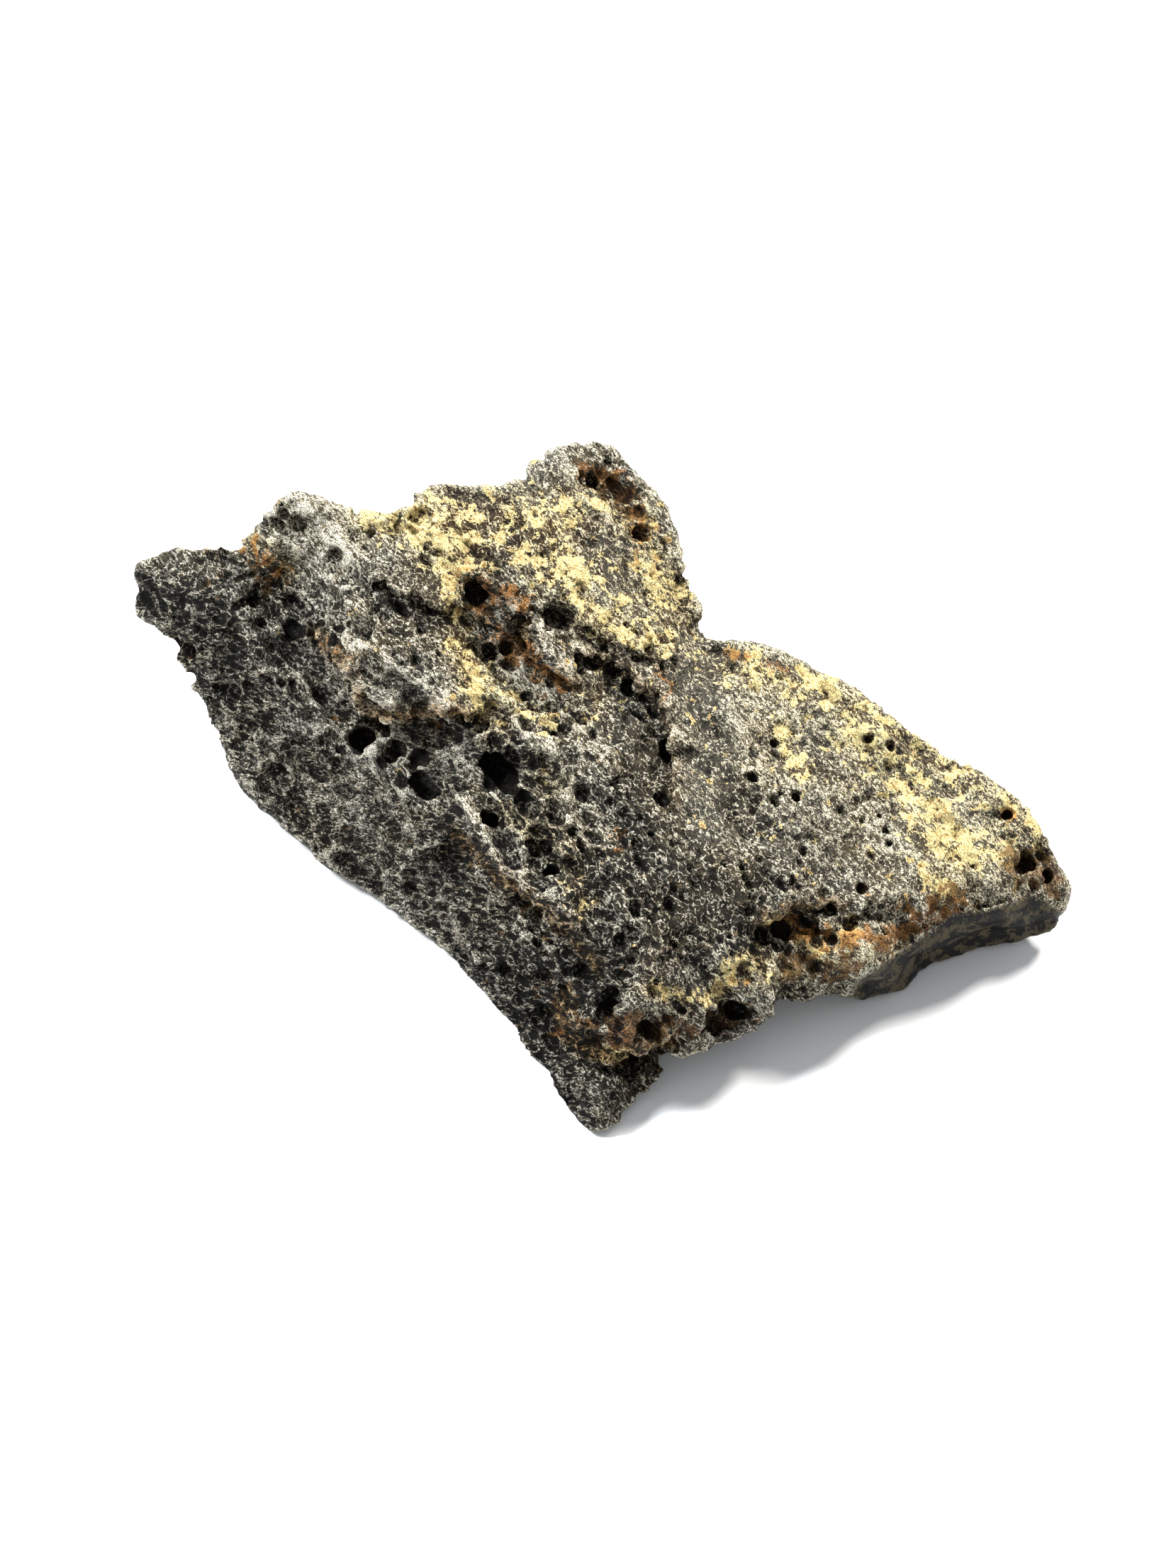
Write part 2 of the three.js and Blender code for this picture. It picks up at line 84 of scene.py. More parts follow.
# Opened bubbles that can be told apart: (across, up, width, length over width), in mm.
MARKED_BUBBLES = [
    (-15.9, 3.0, 2.2, 1.1),
    (-12.8, 3.5, 1.3, 1.2),
    (-9.8, 3.5, 1.5, 1.1),
    (-13.6, 2.4, 1.4, 1.2),
    (-12.2, 1.9, 1.4, 1.1),
    (-10.8, 2.9, 0.9, 1.2),
    (-17.4, 2.5, 0.8, 1.2),
    (-14.6, 1.6, 0.8, 1.2),
    (-11.8, -0.1, 1.4, 1.9),
    (-13.4, 0.4, 1.0, 1.4),
    (-9.9, 0.6, 0.9, 1.3),
    (-8.6, 2.2, 0.8, 1.2),
    (-8.3, 13.0, 1.7, 1.1),
    (-6.3, 9.2, 1.0, 1.1),
    (-5.2, 9.7, 0.8, 1.1),
    (-6.1, 8.1, 0.8, 1.1),
    (-8.3, 10.7, 0.8, 1.1),
    (-4.9, 6.0, 0.8, 1.3),
    (-3.7, 5.2, 0.7, 1.2),
    (-17.9, 10.1, 1.9, 1.1),
    (-20.8, 10.6, 1.4, 1.2),
    (-3.1, 3.3, 0.9, 1.0),
    (-3.2, -5.7, 1.2, 1.1),
    (-2.2, -5.2, 0.8, 1.1),
    (-3.6, -6.7, 1.0, 1.1),
    (-7.4, -2.5, 1.5, 1.1),
    (-8.5, -4.1, 1.4, 1.5),
    (-6.6, 0.9, 2.0, 2.1),
    (-5.0, -1.0, 1.2, 1.5),
    (-1.1, -12.8, 1.7, 1.2),
    (-1.5, -14.1, 1.2, 1.2),
    (0.8, -14.8, 1.4, 1.2),
    (3.3, -16.3, 1.2, 1.6),
    (1.1, -15.9, 1.0, 1.1),
    (1.7, -18.0, 1.5, 1.2),
    (9.0, -14.9, 1.5, 1.1),
    (7.7, -15.9, 0.9, 1.6),
    (5.3, -14.8, 0.6, 2.2),
    (12.1, -9.6, 1.4, 1.1),
    (13.4, -8.7, 0.7, 3.0),
    (15.4, -8.1, 0.6, 1.6),
    (15.6, -10.3, 0.9, 1.1),
    (12.6, -11.0, 0.9, 1.2),
    (10.3, -10.9, 0.8, 1.2),
    (17.5, -6.8, 0.8, 1.1),
    (18.0, 3.1, 0.6, 1.1),
    (11.7, 2.9, 0.7, 1.1),
    (13.5, 4.0, 0.5, 1.1),
    (10.2, 0.5, 0.7, 1.1),
    (13.1, -0.8, 0.7, 1.1),
    (9.0, -1.8, 0.5, 1.1),
    (10.1, -3.0, 0.5, 1.1),
    (27.3, -2.0, 0.9, 1.1),
    (28.6, -5.3, 1.4, 1.2),
    (29.9, -6.1, 1.0, 1.1),
    (-0.5, 20.5, 1.0, 1.0),
    (0.9, 20.3, 0.9, 1.0),
    (1.6, 19.7, 1.3, 1.2),
    (0.3, 19.7, 0.9, 1.2),
    (2.6, 18.5, 0.9, 1.2),
    (2.5, 16.7, 1.0, 1.2),
]

# Lips where a layer has broken off short, as lines of (across, up) in mm, with the size of the
# hollows etched out under the lip and how far its edge shows bare tan glass, from 0 to 1. The low
# side is on the right of each line as it is drawn.
LIPS = [
    ([(-19.6, 10.9), (-18.9, 9.4), (-17.6, 8.7), (-16.6, 6.8)], 0.9, 0.7),
    ([(-16.6, 7.0), (-16.2, 5.4), (-15.0, 4.6), (-12.8, 4.5), (-10.8, 5.0), (-7.4, 4.4)], 1.2, 0.9),
    (
        [(-10.6, -2.6), (-8.6, -4.4), (-7.0, -6.1), (-4.6, -7.7), (-2.2, -9.8), (0.2, -13.0)],
        1.5,
        0.8,
    ),
    (
        [(-2.0, -12.8), (-2.7, -15.4), (-2.1, -16.8), (-0.8, -17.8), (1.0, -18.3), (5.4, -16.8)],
        1.2,
        0.8,
    ),
    ([(-1.6, 8.9), (-0.6, 8.6), (1.8, 7.6), (2.5, 6.4), (3.9, 6.0), (4.4, 4.6)], 1.1, 0.3),
    ([(3.9, 6.0), (4.5, 4.4), (4.9, 1.4), (4.9, -0.6), (4.3, -2.2)], 1.2, 0.2),
    ([(-5.4, 11.2), (-4.8, 9.4), (-4.3, 7.5), (-2.8, 7.3), (-1.2, 6.2)], 0.9, 0.7),
    ([(-15.2, 13.6), (-13.0, 12.8), (-10.2, 11.8), (-8.6, 11.4)], 0.9, 0.1),
    ([(-4.6, 12.0), (-1.2, 10.6), (3.6, 8.2)], 0.5, 0.1),
    ([(10.2, -9.7), (11.6, -8.9), (13.2, -8.2), (15.6, -7.9), (16.2, -8.6)], 0.8, 0.5),
]

# Shoulders that the smoothing wears off, as lines of (across, up) with a width and a height in mm.
SHOULDERS = [([(-3.6, 20.8), (-2.6, 21.4)], 0.9, 0.95)]

# Upper border of the fresh break, as (across, up) in mm. The glass below it is bare.
BREAK_BORDER = [
    (16.6, -13.3),
    (17.5, -12.7),
    (20.0, -11.0),
    (21.9, -9.8),
    (23.5, -8.4),
    (25.5, -8.3),
    (27.5, -7.7),
    (29.0, -7.3),
    (31.6, -8.6),
]

# Where the glass is most porous and where it is tight, as soft lines of (across, up) in mm, each
# with a width in mm and a strength.
POROUS = [
    ([(-15.0, 0.0), (-8.0, -3.0), (-1.0, -10.0)], 5.0, 0.5),
    ([(-6.0, 4.0), (-1.0, -2.0), (1.0, -8.0)], 4.0, 0.5),
    ([(-18.0, 14.0), (-12.0, 8.0)], 3.0, 0.4),
    ([(-17.0, 3.2), (-12.0, 2.0), (-5.0, -1.5)], 3.0, 1.0),
    ([(-8.4, 13.2), (-6.4, 9.6), (-2.8, 6.4)], 2.2, 0.6),
    ([(-1.5, -14.0), (2.0, -17.2), (9.4, -15.2), (13.0, -12.4)], 2.2, 1.0),
    ([(10.0, -10.8), (15.0, -11.0), (21.0, -9.6)], 1.6, 1.0),
    ([(-0.2, 20.8), (1.6, 19.6), (2.6, 17.0)], 1.4, 1.0),
    ([(-21.6, 14.0), (-19.6, 10.6)], 2.0, 0.8),
    ([(27.6, -2.6), (30.0, -5.8)], 1.4, 0.8),
    ([(-9.0, -4.0), (-2.6, -6.4)], 2.2, 0.7),
]
TIGHT = [
    ([(6.6, 7.6), (7.4, 3.0), (7.0, -2.0)], 2.4, 1.0),
    ([(10.0, 7.0), (20.0, 1.0), (26.0, -4.0)], 4.0, 0.5),
    ([(12.0, -4.0), (20.0, -5.6)], 3.0, 0.5),
    ([(0.6, 12.6), (3.4, 12.0)], 1.6, 0.6),
    ([(2.0, 4.6), (2.6, 1.0)], 1.4, 0.6),
    ([(0.0, 16.0), (1.0, 14.2)], 1.0, 0.9),
    ([(20.6, 3.0), (21.4, 1.4)], 0.8, 0.9),
    ([(-5.4, 20.6), (-2.4, 22.4), (0.0, 23.4)], 1.2, 0.9),
]

# Where soil and dust have stayed on the upper face, and where its glass shows dark or frosted,
# laid down in the same way; some of the dark lines are painted shadow under steps and painted
# shade on faces turned from the window.
CREAM_SOIL = [
    ([(-15.6, 18.2), (-12.6, 17.8)], 1.4, 0.8),
    ([(-11.0, 17.4), (-9.6, 15.4)], 2.2, 0.9),
    ([(-10.2, 13.4), (-9.6, 11.4)], 1.2, 0.6),
    ([(-6.0, 18.6), (-3.0, 18.0), (-1.0, 19.4)], 1.6, 0.6),
    ([(-3.6, 14.6), (-1.8, 14.2)], 1.4, 0.9),
    ([(2.4, 18.4), (3.4, 15.6), (4.6, 13.0)], 1.6, 0.7),
    ([(-1.2, 11.6), (1.6, 10.6), (4.6, 9.6)], 1.0, 0.7),
    ([(-9.5, 9.6), (-8.8, 7.4), (-7.8, 5.4)], 0.8, 1.0),
    ([(-8.6, 6.4), (-6.6, 3.6)], 1.0, 0.5),
    ([(-4.4, 1.6), (-3.0, 0.0)], 1.0, 0.4),
    ([(0.0, 6.8), (-0.6, 4.6)], 1.1, 0.4),
    ([(9.0, 8.2), (15.0, 6.4), (21.0, 2.8), (26.0, -0.4), (29.4, -3.4)], 1.6, 0.65),
    ([(12.2, 3.8), (12.6, 2.4), (13.8, 1.0)], 0.8, 1.0),
    ([(17.0, 3.4), (19.0, 1.6), (21.0, -0.6), (23.4, -3.0)], 1.2, 0.75),
    ([(22.4, -3.4), (24.6, -5.0)], 1.2, 0.9),
    ([(23.0, -7.2), (22.2, -6.2)], 0.8, 0.9),
    ([(26.0, -3.4), (27.6, -5.0)], 1.4, 0.6),
    ([(10.0, 2.0), (18.0, -1.0), (26.0, -5.0)], 6.0, 0.2),
    ([(-8.0, 18.0), (0.0, 14.0), (4.0, 10.0)], 4.0, 0.35),
    ([(9.6, -12.6), (14.0, -12.4), (20.0, -10.4)], 1.0, 0.45),
    ([(-6.0, -1.8), (-2.4, -4.0), (-1.2, -8.0)], 1.0, 0.5),
    ([(-8.0, 8.0), (-5.4, 5.4), (-3.4, 4.0)], 1.0, 0.6),
    ([(7.6, -14.0), (8.8, -12.0), (10.4, -11.4)], 0.8, 0.9),
    ([(11.2, -8.8), (12.6, -9.4), (14.0, -10.8)], 0.5, 1.0),
    ([(14.5, -11.0), (16.8, -9.6)], 0.8, 0.9),
    ([(-2.6, -15.2), (-1.0, -17.6), (1.4, -17.8)], 0.7, 0.8),
    ([(3.4, -13.6), (6.6, -14.2)], 0.8, 0.5),
    ([(-23.6, 16.4), (-21.4, 14.6)], 0.9, 0.8),
]
PALE_DUST = [
    ([(-20.5, 17.4), (-16.0, 18.2)], 2.0, 0.8),
    ([(-20.0, 16.8), (-17.6, 15.6)], 2.8, 1.0),
    ([(-10.0, 18.0), (-2.0, 17.0), (3.0, 14.0)], 4.0, 0.3),
    ([(8.0, 5.0), (16.0, 2.0), (24.0, -3.0)], 5.0, 0.5),
    ([(-4.0, 10.0), (2.0, 9.0)], 2.4, 0.1),
    ([(-3.0, 1.0), (0.0, -3.0)], 2.0, 0.6),
    ([(9.6, -12.6), (16.0, -11.6), (22.0, -9.4)], 1.4, 0.8),
    ([(-8.8, 9.0), (-3.0, 6.0)], 2.0, 0.5),
    ([(0.0, 3.0), (0.6, 1.6)], 0.7, 1.0),
    ([(-19.0, 4.0), (-14.0, -3.0), (-9.0, -8.0)], 5.0, 0.6),
    ([(-16.0, 2.4), (-10.0, 2.2)], 1.8, 0.6),
    ([(-8.0, 11.6), (-6.0, 9.6), (-4.6, 8.0)], 1.5, 0.7),
    ([(-16.0, 10.0), (-14.0, 7.0), (-9.0, 5.8)], 2.2, 0.4),
]
DARK_GLASS_AND_SHADOWS = [
    ([(-28.0, 13.5), (-22.0, 9.0)], 4.0, 0.5),
    # painted shadow at the foot of the step beside the slab
    ([(2.0, 6.9), (3.6, 5.8), (4.2, 4.2), (4.5, 1.4), (4.5, -0.8)], 0.4, 1.0),
    ([(0.0, -6.0), (6.0, -7.5), (9.0, -7.0)], 5.0, 0.8),
    ([(2.0, 6.0), (2.6, -1.0)], 2.6, 0.8),
    ([(6.8, 7.6), (7.4, 3.0), (8.0, -1.0)], 2.2, 0.8),
    ([(-13.0, 10.0), (-9.6, 8.4)], 1.8, 0.5),
    # painted shadow behind the block's step
    ([(-15.0, 12.8), (-11.0, 11.4)], 1.9, 0.8),
    # painted shade low on the front, which is turned from the window
    ([(-5.0, -14.0), (-1.0, -20.0)], 3.6, 0.9),
    ([(-8.5, 17.5), (-5.0, 16.5)], 2.2, 0.8),
    ([(0.0, 16.0), (1.0, 14.2)], 1.3, 1.0),
    ([(20.6, 3.0), (21.4, 1.4)], 0.9, 1.0),
    ([(14.4, 2.4), (15.2, 0.6)], 0.8, 0.7),
    ([(-10.0, -6.0), (-4.0, -12.0)], 3.0, 0.4),
]
FROSTED_FLANK = [([(-20.6, 18.0), (-18.6, 16.0), (-16.0, 12.0)], 3.2, 1.0)]
OCHRE_SOIL = [
    ([(-23.6, 16.2), (-21.6, 14.6)], 0.9, 0.9),
    ([(-6.0, 13.2), (-5.2, 12.4)], 0.8, 1.0),
    ([(-4.6, 9.0), (-4.2, 7.6), (-2.6, 7.2)], 0.6, 0.7),
    ([(-8.6, 13.6), (-7.6, 11.4), (-6.0, 9.4)], 1.7, 0.8),
    ([(-5.6, 9.4), (-4.0, 7.8), (-2.6, 7.0)], 0.8, 0.9),
    ([(3.0, 17.4), (4.4, 15.0)], 1.0, 0.5),
    ([(-0.8, 21.2), (1.0, 20.6), (2.4, 18.8)], 1.0, 0.9),
    ([(2.6, 17.4), (2.6, 16.0)], 0.8, 0.7),
    ([(3.9, 8.0), (4.6, 6.2)], 0.7, 0.6),
    ([(8.4, 8.8), (9.6, 8.6)], 0.6, 0.9),
    ([(11.4, 8.3), (12.6, 7.8)], 0.6, 0.9),
    ([(0.8, -3.4), (1.4, -4.0)], 0.6, 0.7),
    ([(17.3, -6.7), (17.7, -7.0)], 0.5, 1.0),
    ([(27.1, -1.9), (27.6, -2.1)], 0.6, 1.0),
    ([(12.2, -9.4), (15.6, -10.6), (19.4, -10.0), (22.8, -8.2)], 1.3, 0.9),
    ([(-3.2, -13.4), (-2.4, -16.4), (0.6, -17.2)], 1.0, 0.5),
    ([(9.0, -12.6), (10.4, -14.0)], 0.9, 0.5),
    ([(-18.4, 9.6), (-17.4, 9.0)], 0.7, 0.6),
    ([(1.8, -16.4), (3.6, -16.2)], 0.9, 0.6),
]
BROWN_SOIL = [
    ([(-0.8, 21.2), (1.0, 20.2), (2.4, 18.4)], 1.2, 0.8),
    ([(-8.4, 13.4), (-7.8, 12.2)], 1.2, 0.5),
    ([(-7.4, 11.4), (-5.4, 8.4)], 1.2, 0.35),
    ([(-5.4, 8.0), (-3.6, 5.6)], 1.2, 0.45),
    ([(-23.6, 15.2), (-22.4, 13.4)], 1.0, 0.5),
    ([(-16.0, 3.6), (-12.8, 3.8), (-9.8, 4.0)], 1.0, 0.4),
    ([(13.0, -12.2), (17.0, -11.6), (20.4, -9.8), (23.4, -7.8)], 1.6, 0.75),
    ([(-3.0, -14.6), (-1.0, -16.6), (3.0, -17.0)], 1.4, 0.6),
    ([(28.2, -5.0), (30.2, -6.2)], 1.5, 1.0),
    ([(1.0, -15.6), (4.0, -16.4), (9.4, -15.2)], 1.2, 0.8),
    ([(-9.0, -3.4), (-4.6, -8.0), (-0.8, -12.2)], 0.9, 0.4),
    ([(-28.6, 13.4), (-25.0, 13.0)], 1.6, 0.3),
]


def linear(code):
    """A hex colour as linear red, green, blue and alpha."""
    parts = [int(code[i : i + 2], 16) / 255 for i in (1, 3, 5)]
    return [c / 12.92 if c <= 0.04045 else ((c + 0.055) / 1.055) ** 2.4 for c in parts] + [1.0]


def colour(name, description, default):
    """A setting for a colour, with a hex default."""
    return bpy.props.FloatVectorProperty(
        name=name,
        description=description,
        subtype="COLOR",
        size=4,
        min=0.0,
        max=1.0,
        default=linear(default),
    )


def length(name, description, default):
    """A setting for a length, with its default in millimetres."""
    return bpy.props.FloatProperty(
        name=name,
        description=description,
        subtype="DISTANCE",
        unit="LENGTH",
        precision=6,
        default=default * MM,
    )


class TektiteStone(bpy.types.PropertyGroup):
    """Sizes of the stone's fine surface."""

    base_cell: length("Base Cell", "Cell in which the main form is smoothed", 0.32)
    fine_cell: length("Fine Cell", "Cell in which bubbles and cups are kept", 0.17)
    edge_gain: length("Edge Gain", "How far the form grows to make up for its smoothing", 0.2)
    large_cup: length("Large Cup", "Width of the larger etched cups", 1.25)
    large_depth: length("Large Cup Depth", "Depth of the larger etched cups", 0.44)
    small_cup: length("Small Cup", "Width of the smaller etched cups", 0.8)
    small_depth: length("Small Cup Depth", "Depth of the smaller etched cups", 0.3)
    band_width: length("Band Width", "Width of the low bands that follow the layers", 1.8)
    band_depth: length("Band Depth", "Height of the low bands that follow the layers", 0.6)
    lump_width: length("Lump Width", "Width of the lumps between the hollows", 3.4)
    lump_depth: length("Lump Depth", "Height of the lumps between the hollows", 0.65)
    tallest_crest: length("Tallest Crest", "How far a crest stands out before it wears down", 0.24)
    jag: length("Jag", "How far the broken lips stray from their lines", 0.45)
    stretch: bpy.props.FloatProperty(
        name="Stretch",
        description="Length over width of the etched cups, along the layers",
        default=1.7,
        min=1.0,
    )
    bubbles: bpy.props.IntProperty(
        name="Bubbles",
        description="Number of small opened bubbles scattered over the stone",
        default=3400,
        min=0,
    )
    triangles: bpy.props.IntProperty(
        name="Triangles",
        description="Most triangles that the finished surface may have",
        default=192000,
        min=1000,
    )
    seed: bpy.props.IntProperty(
        name="Seed",
        description="Start of the random draws that place the small bubbles",
        default=7,
    )


class TektiteFinish(bpy.types.PropertyGroup):
    """Colours of the glass and of what lies on it."""

    dark_glass: colour("Dark Glass", "Glass in hollows and in smooth patches", "#393630")
    grey_glass: colour("Grey Glass", "Glass frosted by etching", "#837e71")
    cool_tint: colour("Cool Tint", "Tint of the cooler layers", "#d6d8d4")
    warm_tint: colour("Warm Tint", "Tint of the warmer layers", "#d8ccb2")
    pale_crest: colour("Pale Crest", "Frosted crests between the cups", "#d6cfbc")
    tan_lip: colour("Tan Lip", "Glass thinned out to a lip", "#b08a52")
    cream_light: colour("Cream Light", "Dry crust of cream soil", "#f4dc9e")
    # painted shade between the grains of cream soil
    cream_shade: colour("Cream Dark", "Damp cream soil between its grains", "#a87e3a")
    ochre: colour("Ochre", "Iron-stained soil", "#b07432")
    brown: colour("Brown", "Brown soil in pores", "#684a28")
    # painted shade at the bottom of pores and in hollows, over black glass
    pore: colour("Pore", "Shade and wet glass at the bottom of pores", "#0d0b08")
    fresh_glass: colour("Fresh Glass", "Bare glass of the fresh break", "#0b0b0a")
    fresh_film: colour("Fresh Film", "Thin film of dust on the fresh break", "#4a4230")


class TektiteStage(bpy.types.PropertyGroup):
    """Floor, light and camera."""

    board: colour("Board", "Matt board under the stone", "#f4f4f4")
    sky: colour("Sky", "Even light from all around", "#f6faff")
    window_light: colour("Window Light", "Light of the main window", "#fffbf5")
    sky_strength: bpy.props.FloatProperty(
        name="Sky Strength", description="Strength of the even light", default=0.55, min=0.0
    )
    window_power: bpy.props.FloatProperty(
        name="Window Power",
        description="Power of the main window",
        default=7.2,
        min=0.0,
        subtype="POWER",
        unit="POWER",
    )
    window_height: bpy.props.FloatProperty(
        name="Window Height",
        description="Angle of the main window above the floor",
        default=math.radians(40),
        subtype="ANGLE",
        unit="ROTATION",
    )
    side_power: bpy.props.FloatProperty(
        name="Side Power",
        description="Power of the soft light on the left",
        default=9.6,
        min=0.0,
        subtype="POWER",
        unit="POWER",
    )
    distance: length("Camera Distance", "From the middle of the stone to the camera", 1000)
    lens: bpy.props.FloatProperty(
        name="Lens",
        description="Focal length of the camera",
        default=342.0,
        subtype="DISTANCE_CAMERA",
        unit="CAMERA",
    )


def rescale(obj, factor):
    """Makes an object's mesh larger or smaller about the origin."""
    obj.data.transform(Matrix.Scale(factor, 4))


def with_modifier(obj, kind, **settings):
    """Gives obj the mesh that one modifier makes of it."""
    modifier = obj.modifiers.new(kind, kind)
    for name, value in settings.items():
        setattr(modifier, name, value)
    graph = bpy.context.evaluated_depsgraph_get()
    made = bpy.data.meshes.new_from_object(obj.evaluated_get(graph))
    obj.modifiers.clear()
    old = obj.data
    obj.data = made
    bpy.data.meshes.remove(old)


def points_of(mesh):
    """A mesh's points as an array of rows."""
    flat = np.empty(len(mesh.vertices) * 3)
    mesh.vertices.foreach_get("co", flat)
    return flat.reshape(-1, 3)


def normals_of(mesh):
    """A mesh's point normals as an array of rows."""
    flat = np.empty(len(mesh.vertices) * 3, np.float32)
    mesh.vertices.foreach_get("normal", flat)
    return flat.reshape(-1, 3).astype(float)


def edges_of(mesh):
    """The two points of each of a mesh's edges."""
    flat = np.empty(len(mesh.edges) * 2, np.int32)
    mesh.edges.foreach_get("vertices", flat)
    return flat.reshape(-1, 2)


def set_points(mesh, points):
    """Moves a mesh's points to an array of rows."""
    mesh.vertices.foreach_set("co", points.ravel())
    mesh.update()


def across_up(points):
    """Where points in mm lie in the survey."""
    up = (points[:, 1] - SURVEY_SHIFT) * SIGHT_SIN + points[:, 2] * SIGHT_COS
    return np.stack([points[:, 0], up], axis=1)


def line_offsets(places, line):
    """Distance of places from a line, how far right of it they lie, and their share of its way."""
    distance = np.full(len(places), np.inf)
    right = np.zeros(len(places))
    share = np.zeros(len(places))
    steps = list(itertools.pairwise(line))
    whole = sum(math.dist(*step) for step in steps)
    walked = 0.0
    for start, end in steps:
        step = math.dist(start, end)
        ahead = (np.array(end) - start) / step
        offset = places - start
        along = np.clip(offset @ ahead, 0, step)
        here = np.linalg.norm(offset - along[:, None] * ahead, axis=1)
        nearer = here < distance
        side = offset[:, 0] * ahead[1] - offset[:, 1] * ahead[0]
        distance[nearer] = here[nearer]
        right[nearer] = side[nearer]
        share[nearer] = ((walked + along) / whole)[nearer]
        walked += step
    return distance, right, share


def line_shares(places, lines):
    """How strongly places are covered by soft lines of a width and a strength, from 0 to 1."""
    bare = np.ones(len(places))
    for line, width, strength in lines:
        distance, _, _ = line_offsets(places, line)
        bare *= 1 - strength * np.exp(-((distance / width) ** 2))
    return 1 - bare


def smoothstep(value, low, high):
    """0 below low, 1 above high, and a smooth climb between them."""
    t = np.clip((value - low) / (high - low), 0, 1)
    return t * t * (3 - 2 * t)


def along_layers(points, stretch):
    """Points squeezed along the layering, so that what is drawn on them comes out longer."""
    axis = np.array(LAYERING)
    return points - np.outer(points @ axis, axis) * (1 - 1 / stretch)


def noise_of(points, size, seed):
    """Smooth noise from -1 to 1 with hills about size mm wide."""
    shifted = points / size + seed * 17.3
    return np.array([noise.noise(Vector(p)) for p in shifted])


def cups_of(points, size, seed):
    """Bowls set side by side: 0 on the crests between them and 1 in the middle of each."""
    shifted = points / size + seed * 9.1
    near = np.array([noise.voronoi(Vector(p))[0][0] for p in shifted])
    return np.clip(1 - near / 0.8, 0, 1)


def flank_share(normals, points):
    """1 on the steep dark flank at the front left, 0 elsewhere."""
    facing = normals @ np.array(FLANK_FACING)
    return smoothstep(facing, 0.55, 0.85) * smoothstep(-points[:, 0], -8.0, 1.0)


def break_share(places, normals):
    """1 on the fresh break at the front right, 0 elsewhere."""
    distance, right, _ = line_offsets(places, BREAK_BORDER)
    below = np.where(right > 0, distance, -distance)
    inside = smoothstep(below, -0.1, 0.3) * smoothstep(places[:, 0], 16.2, 17.6)
    front = smoothstep(-normals[:, 1], -0.1, 0.3) * smoothstep(normals[:, 2], -0.9, -0.6)
    return inside * front


def corner_share(points, normals, edges, rounds):
    """1 on sharp outer corners, which keep their form, 0 elsewhere."""
    wide = smoothed(points, edges, rounds)
    return smoothstep(np.einsum("ij,ij->i", points - wide, normals), 0.1, 0.5)


def porosity(places, seen):
    """1 where the glass is most porous, -1 where it is tight, and 0 in between."""
    return (line_shares(places, POROUS) - line_shares(places, TIGHT)) * seen


def seen_share(normals):
    """1 on faces turned to the sight line, which the surveyed lines are drawn on, 0 elsewhere."""
    return smoothstep(normals @ -np.array(SIGHT), -0.2, 0.15)


def smoothed(values, edges, rounds):
    """Values on points, evened out along the edges a number of times."""
    count = np.maximum(np.bincount(edges.ravel(), minlength=len(values)), 1.0)
    for _ in range(rounds):
        total = np.empty_like(values)
        for column in range(values.shape[1]):
            own = values[:, column]
            total[:, column] = np.bincount(
                edges[:, 0], weights=own[edges[:, 1]], minlength=len(own)
            ) + np.bincount(edges[:, 1], weights=own[edges[:, 0]], minlength=len(own))
        values = 0.4 * values + 0.6 * total / count[:, None]
    return values


def normalised(rows):
    """Rows of unit length."""
    return rows / np.maximum(np.linalg.norm(rows, axis=1, keepdims=True), 1e-9)


class Ground:
    """The smoothed stone, on which places are found by sight."""

    def __init__(self, obj):
        self.tree = BVHTree.FromObject(obj, bpy.context.evaluated_depsgraph_get())

    def at(self, across, up):
        """The point and normal seen at a place of the survey, or None."""
        height = 60.0
        start = Vector((across, (up - height * SIGHT_COS) / SIGHT_SIN + SURVEY_SHIFT, height))
        point, normal, _, _ = self.tree.ray_cast(start, SIGHT)
        return (point, normal) if point is not None else None


def bubble(point, normal, width, stretch, sink, shade):
    """An ellipsoid of the given width, drawn out in the skin along the layering, and its shade."""
    along = LAYERING - normal * LAYERING.dot(normal)
    if along.length < 0.3:
        along = normal.orthogonal()
    along.normalize()
    radius = width / 2
    centre = point - normal * sink * radius
    turn = Matrix((along, normal.cross(along), normal)).transposed().to_4x4()
    size = Matrix.Diagonal((radius * stretch, radius, radius, 1.0))
    return {
        "matrix": Matrix.Translation(centre) @ turn @ size,
        "centre": centre,
        "reach": radius * max(stretch, 1.0) * 1.2,
        "shade": shade,
    }


def marked_bubbles(ground, draw):
    """The bubbles that can be told apart, the wide ones joined by smaller ones at their edge."""
    wanted = []
    for across, up, width, stretch in MARKED_BUBBLES:
        # a long bubble is a row of round ones that have grown together
        half = (stretch - 1) * width / 2
        steps = math.ceil(half / (0.3 * width))
        for step in range(-steps, steps + 1):
            along = half * step / max(steps, 1)
            place = (across + along * LAYERING_SEEN[0], up + along * LAYERING_SEEN[1])
            wanted.append((*place, width * draw.uniform(0.85, 1.05)))
        for _ in range(3 if width > 1.1 else 0):
            turn, away = draw.uniform(0, math.tau), draw.uniform(0.35, 0.5) * width
            place = (across + away * math.cos(turn), up + away * math.sin(turn))
            wanted.append((*place, width * draw.uniform(0.3, 0.6)))
    made = []
    for across, up, width in wanted:
        found = ground.at(across, up)
        if found:
            made.append(bubble(found[0], -SIGHT, width, 1.0, 0.5, 1.0))
    return made


